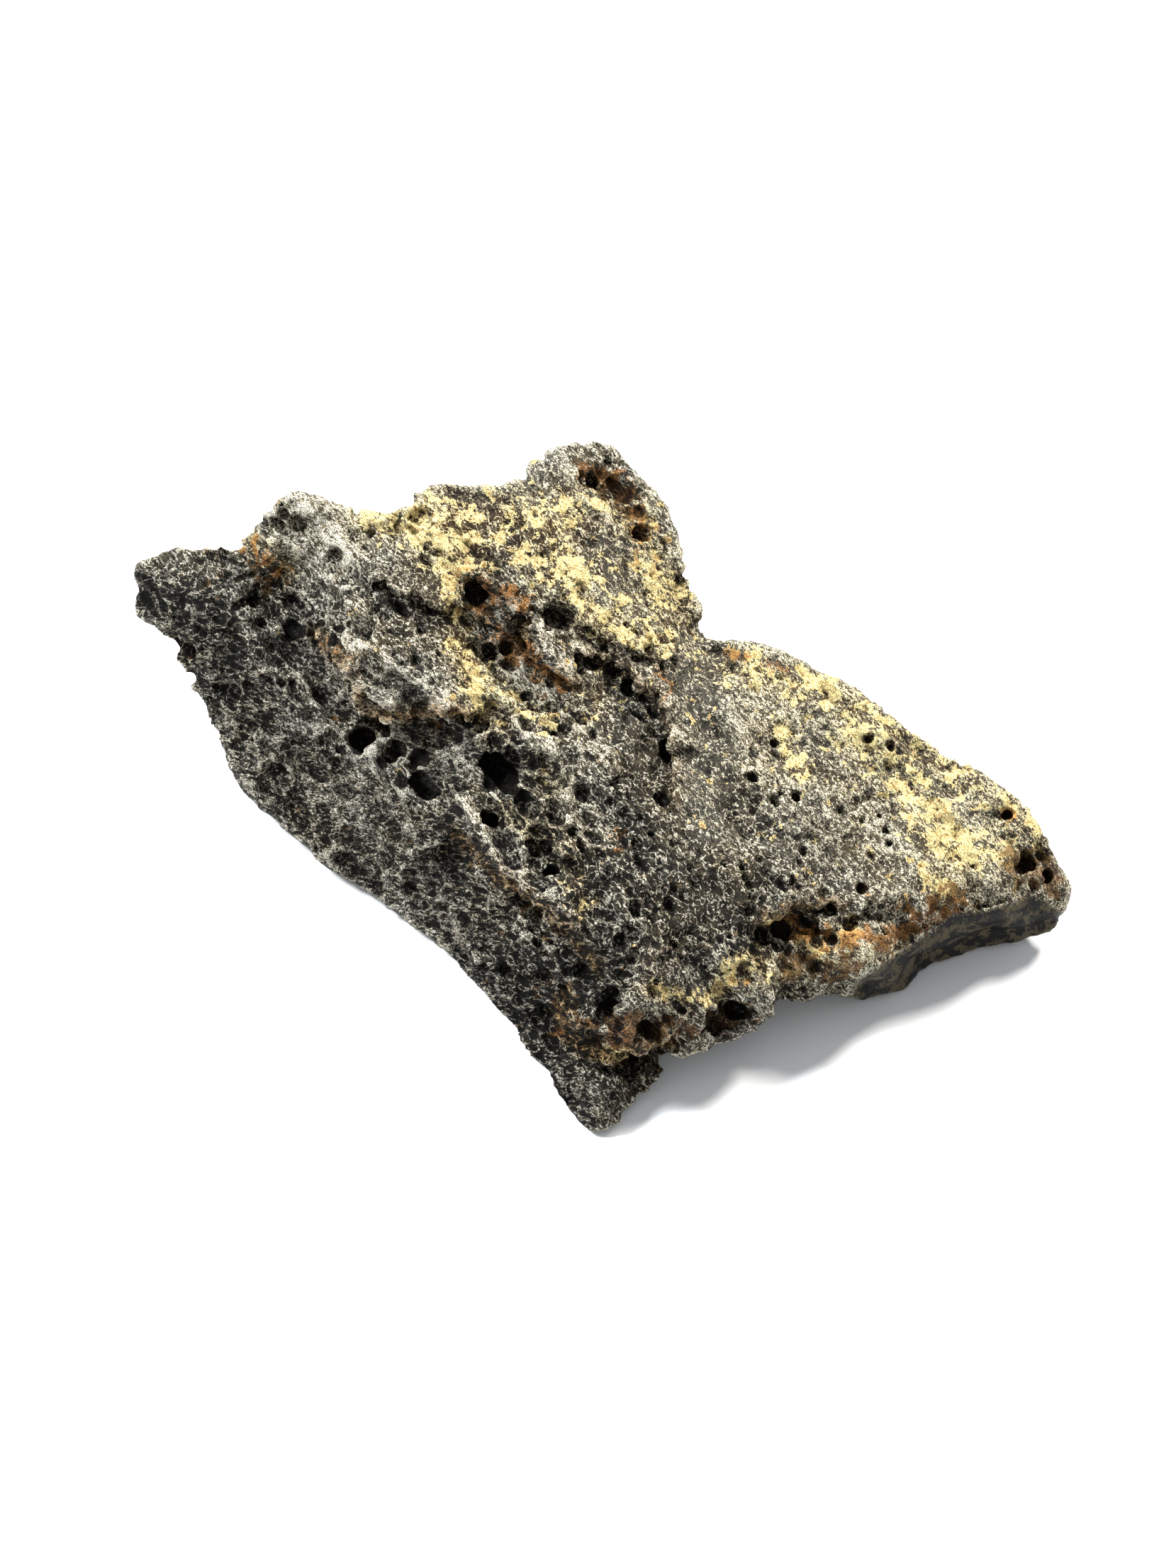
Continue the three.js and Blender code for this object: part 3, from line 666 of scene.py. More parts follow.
def lip_hollows(ground, draw):
    """Rows of hollows that undercut each lip from its low side."""
    made = []
    for line, width, _ in LIPS:
        for start, end in itertools.pairwise(line):
            step = math.dist(start, end)
            ahead = Vector((end[0] - start[0], end[1] - start[1])) / step
            walked = draw.uniform(0, 0.4) * width
            while walked < step:
                size = width * draw.uniform(0.5, 1.15)
                right = Vector((ahead.y, -ahead.x)) * size * draw.uniform(0.1, 0.4)
                found = ground.at(*(Vector(start) + ahead * walked + right))
                if found:
                    made.append(bubble(*found, size, draw.uniform(1.0, 1.5), 0.45, 0.4))
                walked += size * draw.uniform(0.55, 1.1)
    return made


def scattered_bubbles(obj, settings, draw):
    """Small bubbles all over: dense and drawn out on the flank, few at the foot and the break."""
    points, normals = points_of(obj.data), normals_of(obj.data)
    places, seen = across_up(points), seen_share(normals)
    flank = flank_share(normals, points)
    porous = porosity(places, seen)
    bare = break_share(places, normals)
    foot = smoothstep(points[:, 2], 2.0, 0.9)
    patch = np.clip(0.55 + 0.9 * noise_of(points, 4.0, seed=3), 0.1, 1.0)
    weight = (0.4 + 1.4 * flank) * patch * (1 + 2.2 * np.maximum(porous, 0))
    weight *= (1 + 0.75 * np.minimum(porous, 0)) * (1 - 0.98 * bare) * (1 - 0.85 * foot)
    weight *= 1 - 0.95 * corner_share(points, normals, edges_of(obj.data), 80)
    order = np.array([draw.random() for _ in range(len(points))]) ** (1 / np.maximum(weight, 1e-3))
    made = []
    for i in np.argsort(-order)[: settings.bubbles]:
        # most are narrow, and the widest lie on the flank and where the glass is porous
        open_pored = max(flank[i], porous[i])
        width = 0.34 + (0.3 + 0.9 * max(open_pored, 0)) * draw.random() ** 2.4
        stretch = 1.0 + draw.random() * (0.8 + 0.6 * flank[i])
        sink = draw.uniform(-0.4, 0.45)
        point, normal = Vector(points[i]), Vector(normals[i])
        made.append(bubble(point, normal, width, stretch, sink, 0.35 + 0.25 * max(open_pored, 0)))
    return made


def tree_of(places):
    """A tree that finds which places lie near a point."""
    tree = KDTree(len(places))
    for i, place in enumerate(places):
        tree.insert(place, i)
    tree.balance()
    return tree


def apart(bubbles):
    """Sorts bubbles into groups in which no two touch."""
    tree = tree_of([item["centre"] for item in bubbles])
    largest = max(item["reach"] for item in bubbles)
    group_of, groups = {}, []
    for i, item in enumerate(bubbles):
        taken = {
            group_of[j]
            for _, j, gap in tree.find_range(item["centre"], item["reach"] + largest)
            if j in group_of and gap <= item["reach"] + bubbles[j]["reach"]
        }
        number = next(n for n in itertools.count() if n not in taken)
        if number == len(groups):
            groups.append([])
        groups[number].append(item)
        group_of[i] = number
    return groups


def balls_of(items):
    """One object of uneven balls, each placed and drawn out by its own matrix."""
    balls = bmesh.new()
    bmesh.ops.create_icosphere(balls, subdivisions=2, radius=1.0)
    corners = np.array([[*corner.co, 1.0] for corner in balls.verts])
    mesh = bpy.data.meshes.new("bubbles")
    while len(balls.verts) < len(items) * len(corners):
        balls.to_mesh(mesh)
        balls.from_mesh(mesh)
    balls.verts.ensure_lookup_table()
    spare = balls.verts[len(items) * len(corners) :]
    bmesh.ops.delete(balls, geom=spare, context="VERTS")
    balls.to_mesh(mesh)
    balls.free()
    placed = np.concatenate([(corners @ np.array(item["matrix"]).T)[:, :3] for item in items])
    centres = np.repeat([item["centre"] for item in items], len(corners), axis=0)
    uneven = 1 + 0.28 * noise_of(placed, 0.5, seed=51)
    set_points(mesh, centres + (placed - centres) * uneven[:, None])
    obj = bpy.data.objects.new("bubbles", mesh)
    bpy.context.collection.objects.link(obj)
    return obj


def cut(obj, bubbles):
    """Takes bubbles out of obj, one group at a time."""
    for group in apart(bubbles):
        tool = balls_of(group)
        with_modifier(obj, "BOOLEAN", operation="DIFFERENCE", solver="MANIFOLD", object=tool)
        mesh = tool.data
        bpy.data.objects.remove(tool)
        bpy.data.meshes.remove(mesh)


def drop_crumbs(obj):
    """Keeps the largest piece alone, as crumbs that bubbles have cut free would fall off."""
    edges = edges_of(obj.data)
    piece = np.arange(len(obj.data.vertices))
    while True:
        lowest = piece.copy()
        np.minimum.at(lowest, edges[:, 0], piece[edges[:, 1]])
        np.minimum.at(lowest, edges[:, 1], piece[edges[:, 0]])
        lowest = lowest[lowest]
        if np.array_equal(lowest, piece):
            break
        piece = lowest
    crumbs = np.flatnonzero(piece != np.bincount(piece).argmax())
    kept = bmesh.new()
    kept.from_mesh(obj.data)
    kept.verts.ensure_lookup_table()
    bmesh.ops.delete(kept, geom=[kept.verts[i] for i in crumbs], context="VERTS")
    kept.to_mesh(obj.data)
    kept.free()


def stand_proud(obj, settings):
    """Makes up for what smoothing wore off the edges, and sharpens the step at each lip."""
    mesh = obj.data
    points, normals = points_of(mesh), normals_of(mesh)
    jagged = across_up(points)
    jagged[:, 0] += noise_of(points, 1.2, seed=11) * settings.jag / MM
    jagged[:, 1] += noise_of(points, 1.2, seed=12) * settings.jag / MM
    seen = seen_share(normals)
    raised = np.full(len(points), settings.edge_gain / MM)
    for line, width, _ in LIPS:
        distance, right, share = line_offsets(jagged, line)
        ends = smoothstep(np.minimum(share, 1 - share), 0, 0.1) * seen
        # the lip stands up a little, and under it the form drops at once and climbs back slowly
        high = np.exp(-((distance / 0.9) ** 2)) * 0.3
        low = smoothstep(distance, -0.15, 0.3) * np.exp(-distance / 2.2) * 0.75
        raised += np.where(right > 0, -low, high) * ends * width
    drawn = along_layers(points, 2.0)
    lumps = noise_of(drawn, settings.lump_width / MM, seed=41)
    lumps += 0.5 * noise_of(drawn, settings.lump_width / MM / 2, seed=42)
    lumps *= np.clip(0.8 + 0.4 * porosity(across_up(points), seen), 0.35, 1.2)
    lumps *= 0.3 + 0.7 * smoothstep(points[:, 2], 0.5, 2.5)
    corner = corner_share(points, normals, edges_of(mesh), 20)
    raised += lumps * (1 - 0.7 * corner) * settings.lump_depth / MM + 0.25 * corner
    raised += line_shares(across_up(points), SHOULDERS)
    raised *= smoothstep(points[:, 2], 0.0, 0.6)
    set_points(mesh, points + normals * raised[:, None])


def wear_down(obj, settings):
    """Lowers the crests that stand out too far, as thin ones break off."""
    mesh = obj.data
    edges = edges_of(mesh)
    for _ in range(2):
        points, normals = points_of(mesh), normals_of(mesh)
        near = smoothed(points, edges, 6)
        out = np.einsum("ij,ij->i", points - near, normals) - settings.tallest_crest / MM
        share = 0.6 * smoothstep(out, 0.0, 0.2)[:, None]
        set_points(mesh, points + (near - points) * share)


def bubble_shares(points, bubbles):
    """Two shares: 1 on the walls of opened bubbles, and up to 1 at the bottom of the dark ones."""
    tree = tree_of(points)
    walls, bottoms = np.zeros(len(points)), np.zeros(len(points))
    for item in bubbles:
        found = tree.find_range(item["centre"], item["reach"] * 1.2)
        if not found:
            continue
        inside = np.array([i for _, i, _ in found])
        turned = np.array(item["matrix"].inverted())
        local = points[inside] @ turned[:3, :3].T + turned[:3, 3]
        near = smoothstep(np.linalg.norm(local, axis=1), 1.35, 1.1)
        low = smoothstep(local[:, 2], 0.15, -0.65)
        walls[inside] = np.maximum(walls[inside], near)
        bottoms[inside] = np.maximum(bottoms[inside], near * low * item["shade"])
    return walls, bottoms


def etch(obj, bubbles, settings):
    """Etches cups into the skin, side by side, and low bands along the layers."""
    mesh = obj.data
    points, normals = points_of(mesh), normals_of(mesh)
    places, seen = across_up(points), seen_share(normals)
    porous = porosity(places, seen)
    bare = break_share(places, normals)
    foot = smoothstep(points[:, 2], 2.4, 0.8)
    drawn = along_layers(points, settings.stretch)
    drawn += np.stack([noise_of(points, 0.9, seed) for seed in (21, 22, 23)], axis=1) * 0.3
    open_pored = np.clip(0.5 + 0.6 * porous + 0.8 * flank_share(normals, points), 0.1, 1.35)
    patch = np.clip(0.7 + 0.7 * noise_of(points, 2.6, seed=4), 0.25, 1.2)
    corner = corner_share(points, normals, edges_of(mesh), 130)
    large = cups_of(drawn, settings.large_cup / MM, seed=1) * settings.large_depth / MM
    small = cups_of(drawn, settings.small_cup / MM, seed=2) * settings.small_depth / MM
    bands = noise_of(along_layers(points, 5.0), settings.band_width / MM, seed=8)
    rough = noise_of(drawn, 0.75, seed=5) * 0.3 + noise_of(points, 0.42, seed=6) * 0.14
    depth = (large * patch + small - 0.3) * open_pored + rough - bands * settings.band_depth / MM
    depth *= 1 - 0.85 * corner
    depth -= 0.15 * corner
    # the walls of opened bubbles stay smooth
    walls, _ = bubble_shares(points, bubbles)
    depth += (0.06 - depth) * walls
    depth *= (1 - bare) * (1 - 0.8 * foot)
    # the fresh break runs in ripples 0.05 mm high about the place where it was struck
    struck = np.linalg.norm(points - np.array(STRUCK_AT), axis=1)
    depth += 0.05 * np.sin(struck * 5.0) * bare
    points -= normals * depth[:, None]
    points[:, 2] = np.maximum(points[:, 2], 0)
    set_points(mesh, points)


def mark(obj, bubbles):
    """Stores on the points what the material needs to know about the skin."""
    mesh = obj.data
    points, normals, edges = points_of(mesh), normals_of(mesh), edges_of(mesh)
    near = smoothed(points, edges, 12)
    even = normalised(smoothed(normals, edges, 60))
    places, seen = across_up(points), seen_share(even)
    jagged = places + np.stack([noise_of(points, 0.8, seed) for seed in (31, 32)], axis=1) * 0.5
    lips = np.zeros(len(points))
    for line, _, bare in LIPS:
        distance, right, share = line_offsets(jagged, line)
        # tan glass reaches twice as far on the high side
        edge = np.where(right > 0, distance * 2.0, distance)
        ends = smoothstep(np.minimum(share, 1 - share), 0, 0.08)
        lips = np.maximum(lips, np.exp(-((edge / 0.6) ** 2)) * ends * bare)
    # pale dust, less the dark glass and the painted shadows and shade
    dust = line_shares(places, PALE_DUST) - line_shares(places, DARK_GLASS_AND_SHADOWS)
    values = {
        "crest": np.einsum("ij,ij->i", points - near, normals) / 0.15,
        # the material also paints shade with this share, taken off where the flank is frosted
        "flank": flank_share(even, points) * (1 - line_shares(places, FROSTED_FLANK)),
        "pit": bubble_shares(points, bubbles)[1],
        "porous": porosity(places, seen),
        "dust": (dust + 0.4) * seen - 0.4,
        "cream": line_shares(places, CREAM_SOIL) * seen,
        "ochre": line_shares(places, OCHRE_SOIL) * seen,
        "brown": line_shares(places, BROWN_SOIL) * seen,
        "lip": lips * seen,
        "fresh": break_share(places, normals),
    }
    for name, value in values.items():
        layer = mesh.attributes.new(name, "FLOAT", "POINT")
        layer.data.foreach_set("value", value.astype(np.float32))


SKIN_MARKS = ("crest", "pit", "flank", "porous", "dust", "cream", "ochre", "brown", "lip", "fresh")


def per_metre(size):
    """The scale of a pattern whose features are size mm wide."""
    return 1 / (size * MM)


def node(tree, kind, inputs=(), **settings):
    """Adds a node. An input is given as a value, as a socket, or as a node's first live output."""
    made = tree.nodes.new(kind)
    for name, value in settings.items():
        setattr(made, name, value)
    for name, value in dict(inputs).items():
        if isinstance(value, bpy.types.Node):
            value = next(output for output in value.outputs if output.enabled)
        if isinstance(value, bpy.types.NodeSocket):
            tree.links.new(value, made.inputs[name])
        else:
            made.inputs[name].default_value = value
    return made


def etched_tektite_glass(finish):
    """Glass etched by soil water: matt and cellular, dark in its pores and pale on its crests."""
    material = bpy.data.materials.new("etched tektite glass")
    material.use_nodes = True
    tree = material.node_tree
    tree.nodes.clear()
    add = functools.partial(node, tree)
    noise_kind, cell_kind, maths = "ShaderNodeTexNoise", "ShaderNodeTexVoronoi", "ShaderNodeMath"
    vectors, ranges, mix = "ShaderNodeVectorMath", "ShaderNodeMapRange", "ShaderNodeMix"
    # settings that many nodes share; weighted is input 0 times input 1, added to input 2
    multiplied, weighted = {"operation": "MULTIPLY"}, {"operation": "MULTIPLY_ADD"}
    higher, lower = {"operation": "MAXIMUM"}, {"operation": "MINIMUM"}
    smooth, coloured = {"interpolation_type": "SMOOTHSTEP"}, {"data_type": "RGBA"}
    crest, pit, flank, porous, dust, cream, ochre, brown, lip, fresh = (
        add("ShaderNodeAttribute", attribute_name=name).outputs["Fac"] for name in SKIN_MARKS
    )
    place = add("ShaderNodeTexCoord").outputs["Object"]

    # cell walls wander, and cells are drawn out along the layers, or across them on the flank
    wander = add(noise_kind, {"Vector": place, "Scale": per_metre(0.4), "Detail": 4.0})
    crinkled = add(vectors, {0: wander.outputs["Color"], 1: [0.4 * MM] * 3, 2: place}, **weighted)
    drawn, rounder, across = (
        add(
            "ShaderNodeMapping",
            {
                "Vector": crinkled,
                "Rotation": axis.to_track_quat("X", "Z").to_euler(),
                "Scale": (stretch, 1.0, 1.0),
            },
            vector_type="TEXTURE",
        )
        for axis, stretch in ((LAYERING, 2.6), (LAYERING, 1.4), (FLANK_GRAIN, 2.8))
    )
    cells = add(cell_kind, {"Vector": rounder, "Scale": per_metre(0.8)})
    tiny_cells = add(cell_kind, {"Vector": rounder, "Scale": per_metre(0.27)})
    walls = add(cell_kind, {"Vector": drawn, "Scale": per_metre(0.27)}, feature="DISTANCE_TO_EDGE")
    # uneven patterns: what they are drawn on, the width of their features in mm, detail, roughness
    speckle, grains, flecks, streaks, lace, flank_lace, clumps, patches, clouds = (
        add(
            noise_kind,
            {"Vector": base, "Scale": per_metre(size), "Detail": detail, "Roughness": roughness},
        )
        for base, size, detail, roughness in (
            (place, 0.09, 1.0, 0.5),
            (place, 0.13, 1.0, 0.5),
            (drawn, 0.16, 4.0, 0.7),
            (across, 0.13, 3.0, 0.75),
            (rounder, 0.5, 2.0, 0.5),
            (across, 0.5, 2.0, 0.5),
            (place, 1.0, 4.0, 0.6),
            (drawn, 1.8, 3.0, 0.5),
            (place, 5.0, 2.0, 0.5),
        )
    )
    flecks = add(mix, {0: flank, 2: flecks, 3: streaks})

    # thin pale threads with dark gaps between them, where the etching has left a lacework
    lace = add(mix, {0: flank, 2: lace, 3: flank_lace})
    side = add(maths, {0: lace, 1: 0.5}, operation="SUBTRACT")
    side = add(maths, {0: side}, operation="ABSOLUTE")
    threaded = add(ranges, {0: side, 1: 0.045, 2: 0.02})
    gaps = add(ranges, {0: side, 1: 0.05, 2: 0.12}, **smooth)

    # some cells are open pores, more of them where the glass is porous and on the flank
    bowl = add(ranges, {0: cells, 1: 0.48, 2: 0.2}, **smooth)
    chance = cells.outputs["Color"]
    for share, weight in ((porous, 0.2), (flank, 0.36)):
        chance = add(maths, {0: share, 1: weight, 2: chance}, **weighted)
    opened = add(ranges, {0: chance, 1: 0.6, 2: 0.75}, **smooth)
    pore = add(maths, {0: bowl, 1: opened}, **multiplied)
    tiny_bowl = add(ranges, {0: tiny_cells, 1: 0.5, 2: 0.1}, **smooth)
    tiny_opened = add(ranges, {0: tiny_cells.outputs["Color"], 1: 0.45, 2: 0.7}, **smooth)
    tiny_pore = add(maths, {0: tiny_bowl, 1: tiny_opened}, **multiplied)

    # dark glass frosted to grey, with painted shade on the flank, and soiled where cream soil lies
    amount = flecks
    # crests frost more and hollows less, partly real, partly painted light and shade
    for share, weight in ((crest, 0.07), (dust, 0.13), (patches, 0.3)):
        amount = add(maths, {0: share, 1: weight, 2: amount}, **weighted)
    frosted = add(ranges, {0: amount, 1: 0.57, 2: 0.73}, **smooth)
    tight = add(ranges, {0: porous, 1: -0.2, 2: -0.9, 4: 0.6})
    frosted = add(mix, {0: tight, 2: frosted, 3: 0.5})
    # the flank's dark glass is drawn towards the pore colour as painted shade
    shadowed = add(maths, {0: flank, 1: 0.2}, **multiplied)
    dark = add(mix, {0: shadowed, 6: finish.dark_glass, 7: finish.pore}, **coloured)
    soiled = add(maths, {0: cream, 1: 0.6}, **multiplied)
    dark = add(mix, {0: soiled, 6: dark, 7: finish.brown}, **coloured)
    skin = add(mix, {0: frosted, 6: dark, 7: finish.grey_glass}, **coloured)

    # a little cooler or warmer from place to place, and cool where the glass is tight
    warmth = add(maths, {0: tight, 1: -0.3, 2: clouds}, **weighted)
    warmth = add(ranges, {0: warmth, 1: 0.36, 2: 0.6})
    tint = add(mix, {0: warmth, 6: finish.cool_tint, 7: finish.warm_tint}, **coloured)
    skin = add(mix, {0: 1.0, 6: skin, 7: tint}, blend_type="MULTIPLY", **coloured)

    # crests and thin cell walls are pale, partly painted light, and creamier where soil lies
    amount = add(maths, {0: walls, 1: -0.1, 2: amount}, **weighted)
    dusted = add(ranges, {0: amount, 1: 0.73, 2: 0.77, 4: 0.85}, **smooth)
    broken = add(ranges, {0: flecks, 1: 0.44, 2: 0.5, 4: 0.9}, **smooth)
    threaded = add(maths, {0: threaded, 1: broken}, **multiplied)
    # the threads are fainter on the flank, painted shade
    faint = add(maths, {0: flank, 1: -0.1, 2: 0.8}, **weighted)
    threaded = add(maths, {0: threaded, 1: faint}, **multiplied)
    dusted = add(maths, {0: dusted, 1: threaded}, **higher)
    pale = add(mix, {0: cream, 6: finish.pale_crest, 7: finish.cream_light}, **coloured)
    skin = add(mix, {0: dusted, 6: skin, 7: pale}, **coloured)

    # tan glass where it thins out to a lip
    worn = add(ranges, {0: flecks, 1: 0.42, 2: 0.52, 4: 0.9})
    tan = add(maths, {0: lip, 1: worn}, **multiplied)
    skin = add(mix, {0: tan, 6: skin, 7: finish.tan_lip}, **coloured)

    # cream soil in clumps with crisp edges, with painted shade between its grains
    amount = clumps
    for share, weight in ((cream, 0.26), (flecks, 0.25), (flank, -0.12)):
        amount = add(maths, {0: share, 1: weight, 2: amount}, **weighted)
    creamy = add(ranges, {0: amount, 1: 0.8, 2: 0.82}, **smooth)
    grainy = add(ranges, {0: flecks, 1: 0.34, 2: 0.5})
    soil = add(mix, {0: grainy, 6: finish.cream_shade, 7: finish.cream_light}, **coloured)
    skin = add(mix, {0: creamy, 6: skin, 7: soil}, **coloured)

    # ochre soil, and brown soil that keeps to the hollows
    amount = clumps
    for share, weight in ((ochre, 0.3), (flecks, 0.8)):
        amount = add(maths, {0: share, 1: weight, 2: amount}, **weighted)
    stained = add(ranges, {0: amount, 1: 1.1, 2: 1.18, 4: 0.8}, **smooth)
    skin = add(mix, {0: stained, 6: skin, 7: finish.ochre}, **coloured)
    amount = clumps
    for share, weight in ((brown, 0.35), (crest, -0.02)):
        amount = add(maths, {0: share, 1: weight, 2: amount}, **weighted)
    browned = add(ranges, {0: amount, 1: 0.68, 2: 0.76, 4: 0.8}, **smooth)
    skin = add(mix, {0: browned, 6: skin, 7: finish.brown}, **coloured)

    # painted shade in hollows and pores, and dark gaps in the lace, less of it under dust
    shade_and_gaps = add(ranges, {0: crest, 1: -0.4, 2: -1.7, 4: 0.9})
    open_lace = add(ranges, {0: porous, 1: -0.3, 2: 0.8, 4: 0.65})
    open_lace = add(maths, {0: flank, 1: 0.8, 2: open_lace}, **weighted)
    gaps = add(maths, {0: gaps, 1: open_lace}, use_clamp=True, **multiplied)
    shade_and_gaps = add(maths, {0: gaps, 1: shade_and_gaps}, **higher)
    shade_and_gaps = add(maths, {0: pore, 1: shade_and_gaps}, **higher)
    for share, weight in ((tiny_pore, 0.7), (dusted, -0.3), (dust, -0.2)):
        shade_and_gaps = add(maths, {0: share, 1: weight, 2: shade_and_gaps}, **weighted)
    shade_and_gaps = add(maths, {0: shade_and_gaps, 1: 0.94}, **lower)
    # the shade of an opened bubble has a ragged border, and brown soil lightens it
    shaded = pit
    for share, weight in ((flecks, -0.9), (brown, -0.4)):
        shaded = add(maths, {0: share, 1: weight, 2: shaded}, **weighted)
    shaded = add(ranges, {0: shaded, 1: -0.05, 2: 0.45, 4: 0.96}, **smooth)
    shade_and_gaps = add(maths, {0: shaded, 1: shade_and_gaps}, **higher)
    skin = add(mix, {0: shade_and_gaps, 6: skin, 7: finish.pore}, **coloured)

    # painted glints and the painted shade of the finest pores make it lighter and darker by turns,
    # drawn as coarse as they need to show and fainter on soil; the flank is dimmed a little, as
    # painted shade, and nothing is whiter than 0.95
    speckle = add(ranges, {0: speckle, 1: 0.36, 2: 0.64, 3: 0.3, 4: 1.75})
    crusted = add(maths, {0: creamy, 1: 0.35}, **multiplied)
    speckle = add(mix, {0: crusted, 2: speckle, 3: 1.0})
    flank_shade = add(maths, {0: flank, 1: -0.2, 2: 1.0}, **weighted)
    speckle = add(maths, {0: speckle, 1: flank_shade}, **multiplied)
    skin = add(vectors, {0: skin, "Scale": speckle}, operation="SCALE")
    skin = add(vectors, {0: skin, 1: [0.95] * 3}, **lower)

    # the fresh break is bare black glass, with a film of dust in places
    filmed = add(maths, {0: flecks, 1: 0.5, 2: clumps}, **weighted)
    filmed = add(ranges, {0: filmed, 1: 0.74, 2: 0.82, 4: 0.9})
    bare = add(mix, {0: filmed, 6: finish.fresh_glass, 7: finish.fresh_film}, **coloured)
    skin = add(mix, {0: fresh, 6: skin, 7: bare}, **coloured)

    # relief, with heights in mm, much lower on the fresh break
    relief = 0.0
    for share, height in (
        (pore, -0.3),
        (tiny_pore, -0.1),
        (flecks, 0.4),
        (grains, 0.05),
        (creamy, 0.05),
    ):
        relief = add(maths, {0: share, 1: height * MM, 2: relief}, **weighted)
    etched = add(maths, {0: fresh, 1: -0.75, 2: 1.0}, **weighted)
    relief = add(maths, {0: relief, 1: etched}, **multiplied)
    bump = add("ShaderNodeBump", {"Strength": 1.0, "Distance": 1.0, "Height": relief})
    # frosted glass is half matt, soil fully so, and bare glass glossy
    roughness = add(maths, {0: creamy, 1: 0.3, 2: 0.6}, **weighted)
    roughness = add(maths, {0: fresh, 1: -0.36, 2: roughness}, **weighted)
    shader = add(
        "ShaderNodeBsdfPrincipled",
        {
            "Base Color": skin,
            "Roughness": roughness,
            "IOR": 1.5,
            "Specular IOR Level": 0.12,
            "Normal": bump,
        },
    )
    add("ShaderNodeOutputMaterial", {"Surface": shader})
    return material


class TEKTITE_OT_stone(bpy.types.Operator):
    """Make the weathered stone"""

    bl_idname = "tektite.stone"
    bl_label = "Weathered Stone"

    def execute(self, context):
        settings = context.scene.tektite_stone
        draw = random.Random(settings.seed)
        obj = bpy.data.objects.new("weathered_stone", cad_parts[NODE].data.copy())
        context.collection.objects.link(obj)
        merged = bmesh.new()
        merged.from_mesh(obj.data)
        bmesh.ops.remove_doubles(merged, verts=merged.verts, dist=1e-3 * MM)
        merged.to_mesh(obj.data)
        merged.free()
        rescale(obj, 1 / MM)
        with_modifier(obj, "REMESH", mode="VOXEL", voxel_size=settings.base_cell / MM)
        with_modifier(obj, "SMOOTH", factor=0.5, iterations=2)
        stand_proud(obj, settings)
        ground = Ground(obj)
        bubbles = marked_bubbles(ground, draw) + lip_hollows(ground, draw)
        bubbles += scattered_bubbles(obj, settings, draw)
        cut(obj, bubbles)
        with_modifier(obj, "REMESH", mode="VOXEL", voxel_size=settings.fine_cell / MM)
        drop_crumbs(obj)
        etch(obj, bubbles, settings)
        wear_down(obj, settings)
        count = sum(len(face.vertices) - 2 for face in obj.data.polygons)
        ratio = min(1.0, settings.triangles / count)
        with_modifier(obj, "DECIMATE", ratio=ratio, use_collapse_triangulate=True)
        mark(obj, bubbles)
        rescale(obj, MM)
        obj.data.shade_smooth()
        obj.data.materials.clear()
        obj.data.materials.append(etched_tektite_glass(context.scene.tektite_finish))
        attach(obj, "root")
        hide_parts(NODE)
        return {"FINISHED"}


def lit_from(name, azimuth, elevation, distance, size, power, tint):
    """Adds a round window of light aimed at the stone, its azimuth counted from the front."""
    data = bpy.data.lights.new(name, "AREA")
    data.shape = "DISK"
    data.size = size
    data.energy = power
    data.color = tint[:3]
    light = bpy.data.objects.new(name, data)
    away = Vector(
        (
            math.sin(azimuth) * math.cos(elevation),
            -math.cos(azimuth) * math.cos(elevation),
            math.sin(elevation),
        )
    )
    light.location = away * distance
    light.rotation_euler = (-away).to_track_quat("-Z", "Y").to_euler()
    bpy.context.collection.objects.link(light)


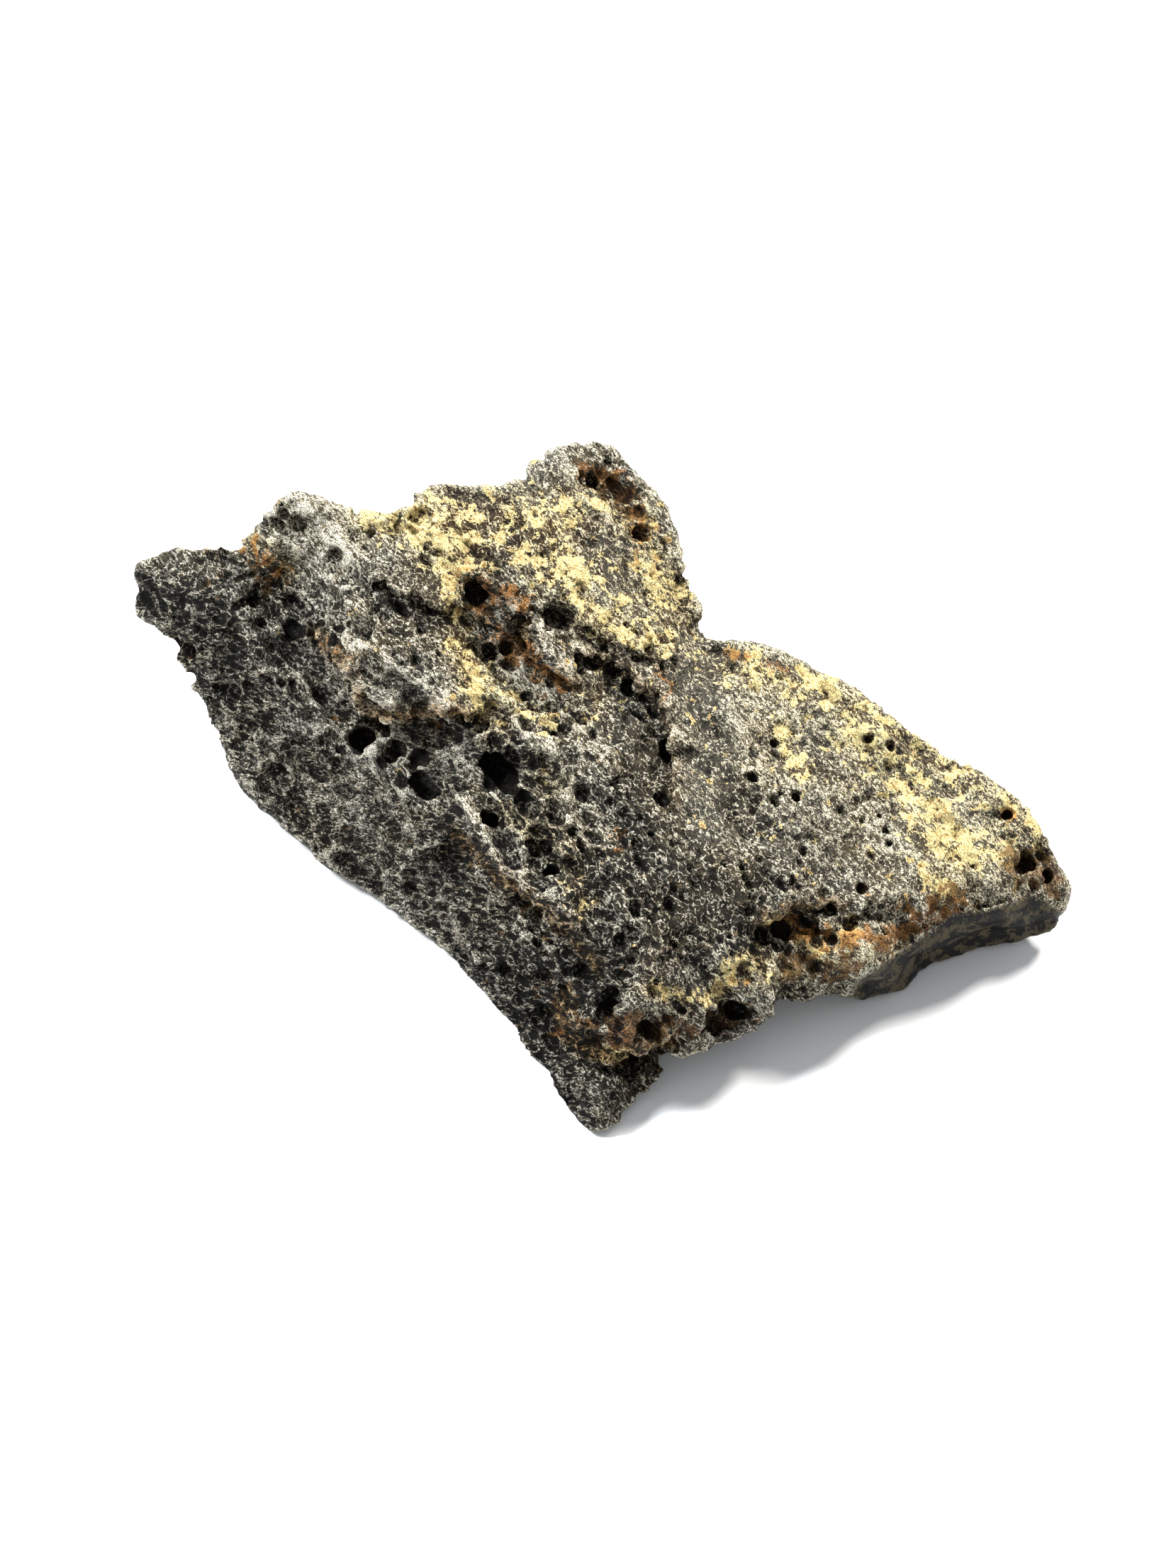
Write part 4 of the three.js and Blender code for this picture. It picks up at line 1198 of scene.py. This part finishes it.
class TEKTITE_OT_stage(bpy.types.Operator):
    """Set the pale floor, the soft lights and the camera"""

    bl_idname = "tektite.stage"
    bl_label = "Floor, Lights and Camera"

    def execute(self, context):
        settings = context.scene.tektite_stage
        board = bmesh.new()
        bmesh.ops.create_grid(board, x_segments=1, y_segments=1, size=FLOOR_REACH)
        bmesh.ops.translate(board, verts=board.verts, vec=(0.0, 0.0, -FLOOR_GAP * MM))
        mesh = bpy.data.meshes.new("floor")
        board.to_mesh(mesh)
        board.free()
        floor = bpy.data.objects.new("floor", mesh)
        context.collection.objects.link(floor)
        # painted board: matt and even
        material = bpy.data.materials.new("matt painted board")
        material.use_nodes = True
        shader = material.node_tree.nodes["Principled BSDF"]
        shader.inputs["Base Color"].default_value = settings.board
        shader.inputs["Roughness"].default_value = 0.9
        mesh.materials.append(material)

        world = bpy.data.worlds.new("soft sky")
        world.use_nodes = True
        sky = world.node_tree.nodes["Background"]
        sky.inputs["Color"].default_value = settings.sky
        sky.inputs["Strength"].default_value = settings.sky_strength
        context.scene.world = world
        context.scene.view_settings.view_transform = "Standard"
        lit_from(
            "window",
            azimuth=math.radians(138),
            elevation=settings.window_height,
            distance=0.6,
            size=0.14,
            power=settings.window_power,
            tint=settings.window_light,
        )
        lit_from(
            "side",
            azimuth=math.radians(-108),
            elevation=math.radians(44),
            distance=0.7,
            size=0.2,
            power=settings.side_power,
            tint=settings.sky,
        )

        camera = bpy.data.cameras.new("camera")
        camera.sensor_width = 36
        camera.lens = settings.lens
        camera.clip_start = 0.01
        camera.clip_end = 10
        eye = bpy.data.objects.new("camera", camera)
        context.collection.objects.link(eye)
        context.scene.camera = eye
        target = Vector(VIEW_CENTRE) * MM
        eye.location = target - SIGHT * settings.distance
        eye.rotation_euler = SIGHT.to_track_quat("-Z", "Y").to_euler()
        return {"FINISHED"}


class TEKTITE_PT_panel(bpy.types.Panel):
    """Lists what the stone is made with"""

    bl_idname = "TEKTITE_PT_panel"
    bl_label = "Layered Tektite"
    bl_space_type = "VIEW_3D"
    bl_region_type = "UI"
    bl_category = "Tektite"

    def draw(self, context):
        for name, group in GROUPS.items():
            for setting in group.__annotations__:
                self.layout.prop(getattr(context.scene, name), setting)
        for operator in (TEKTITE_OT_stone, TEKTITE_OT_stage):
            self.layout.operator(operator.bl_idname)


GROUPS = {
    "tektite_stone": TektiteStone,
    "tektite_finish": TektiteFinish,
    "tektite_stage": TektiteStage,
}
CLASSES = (*GROUPS.values(), TEKTITE_OT_stone, TEKTITE_OT_stage, TEKTITE_PT_panel)


def register():
    for cls in CLASSES:
        bpy.utils.register_class(cls)
    for name, group in GROUPS.items():
        setattr(bpy.types.Scene, name, bpy.props.PointerProperty(type=group))


def unregister():
    for name in GROUPS:
        delattr(bpy.types.Scene, name)
    for cls in reversed(CLASSES):
        bpy.utils.unregister_class(cls)


def main():
    """Makes the stone and its stage."""
    register()
    bpy.ops.tektite.stone()
    bpy.ops.tektite.stage()


if __name__ == "__main__":
    main()
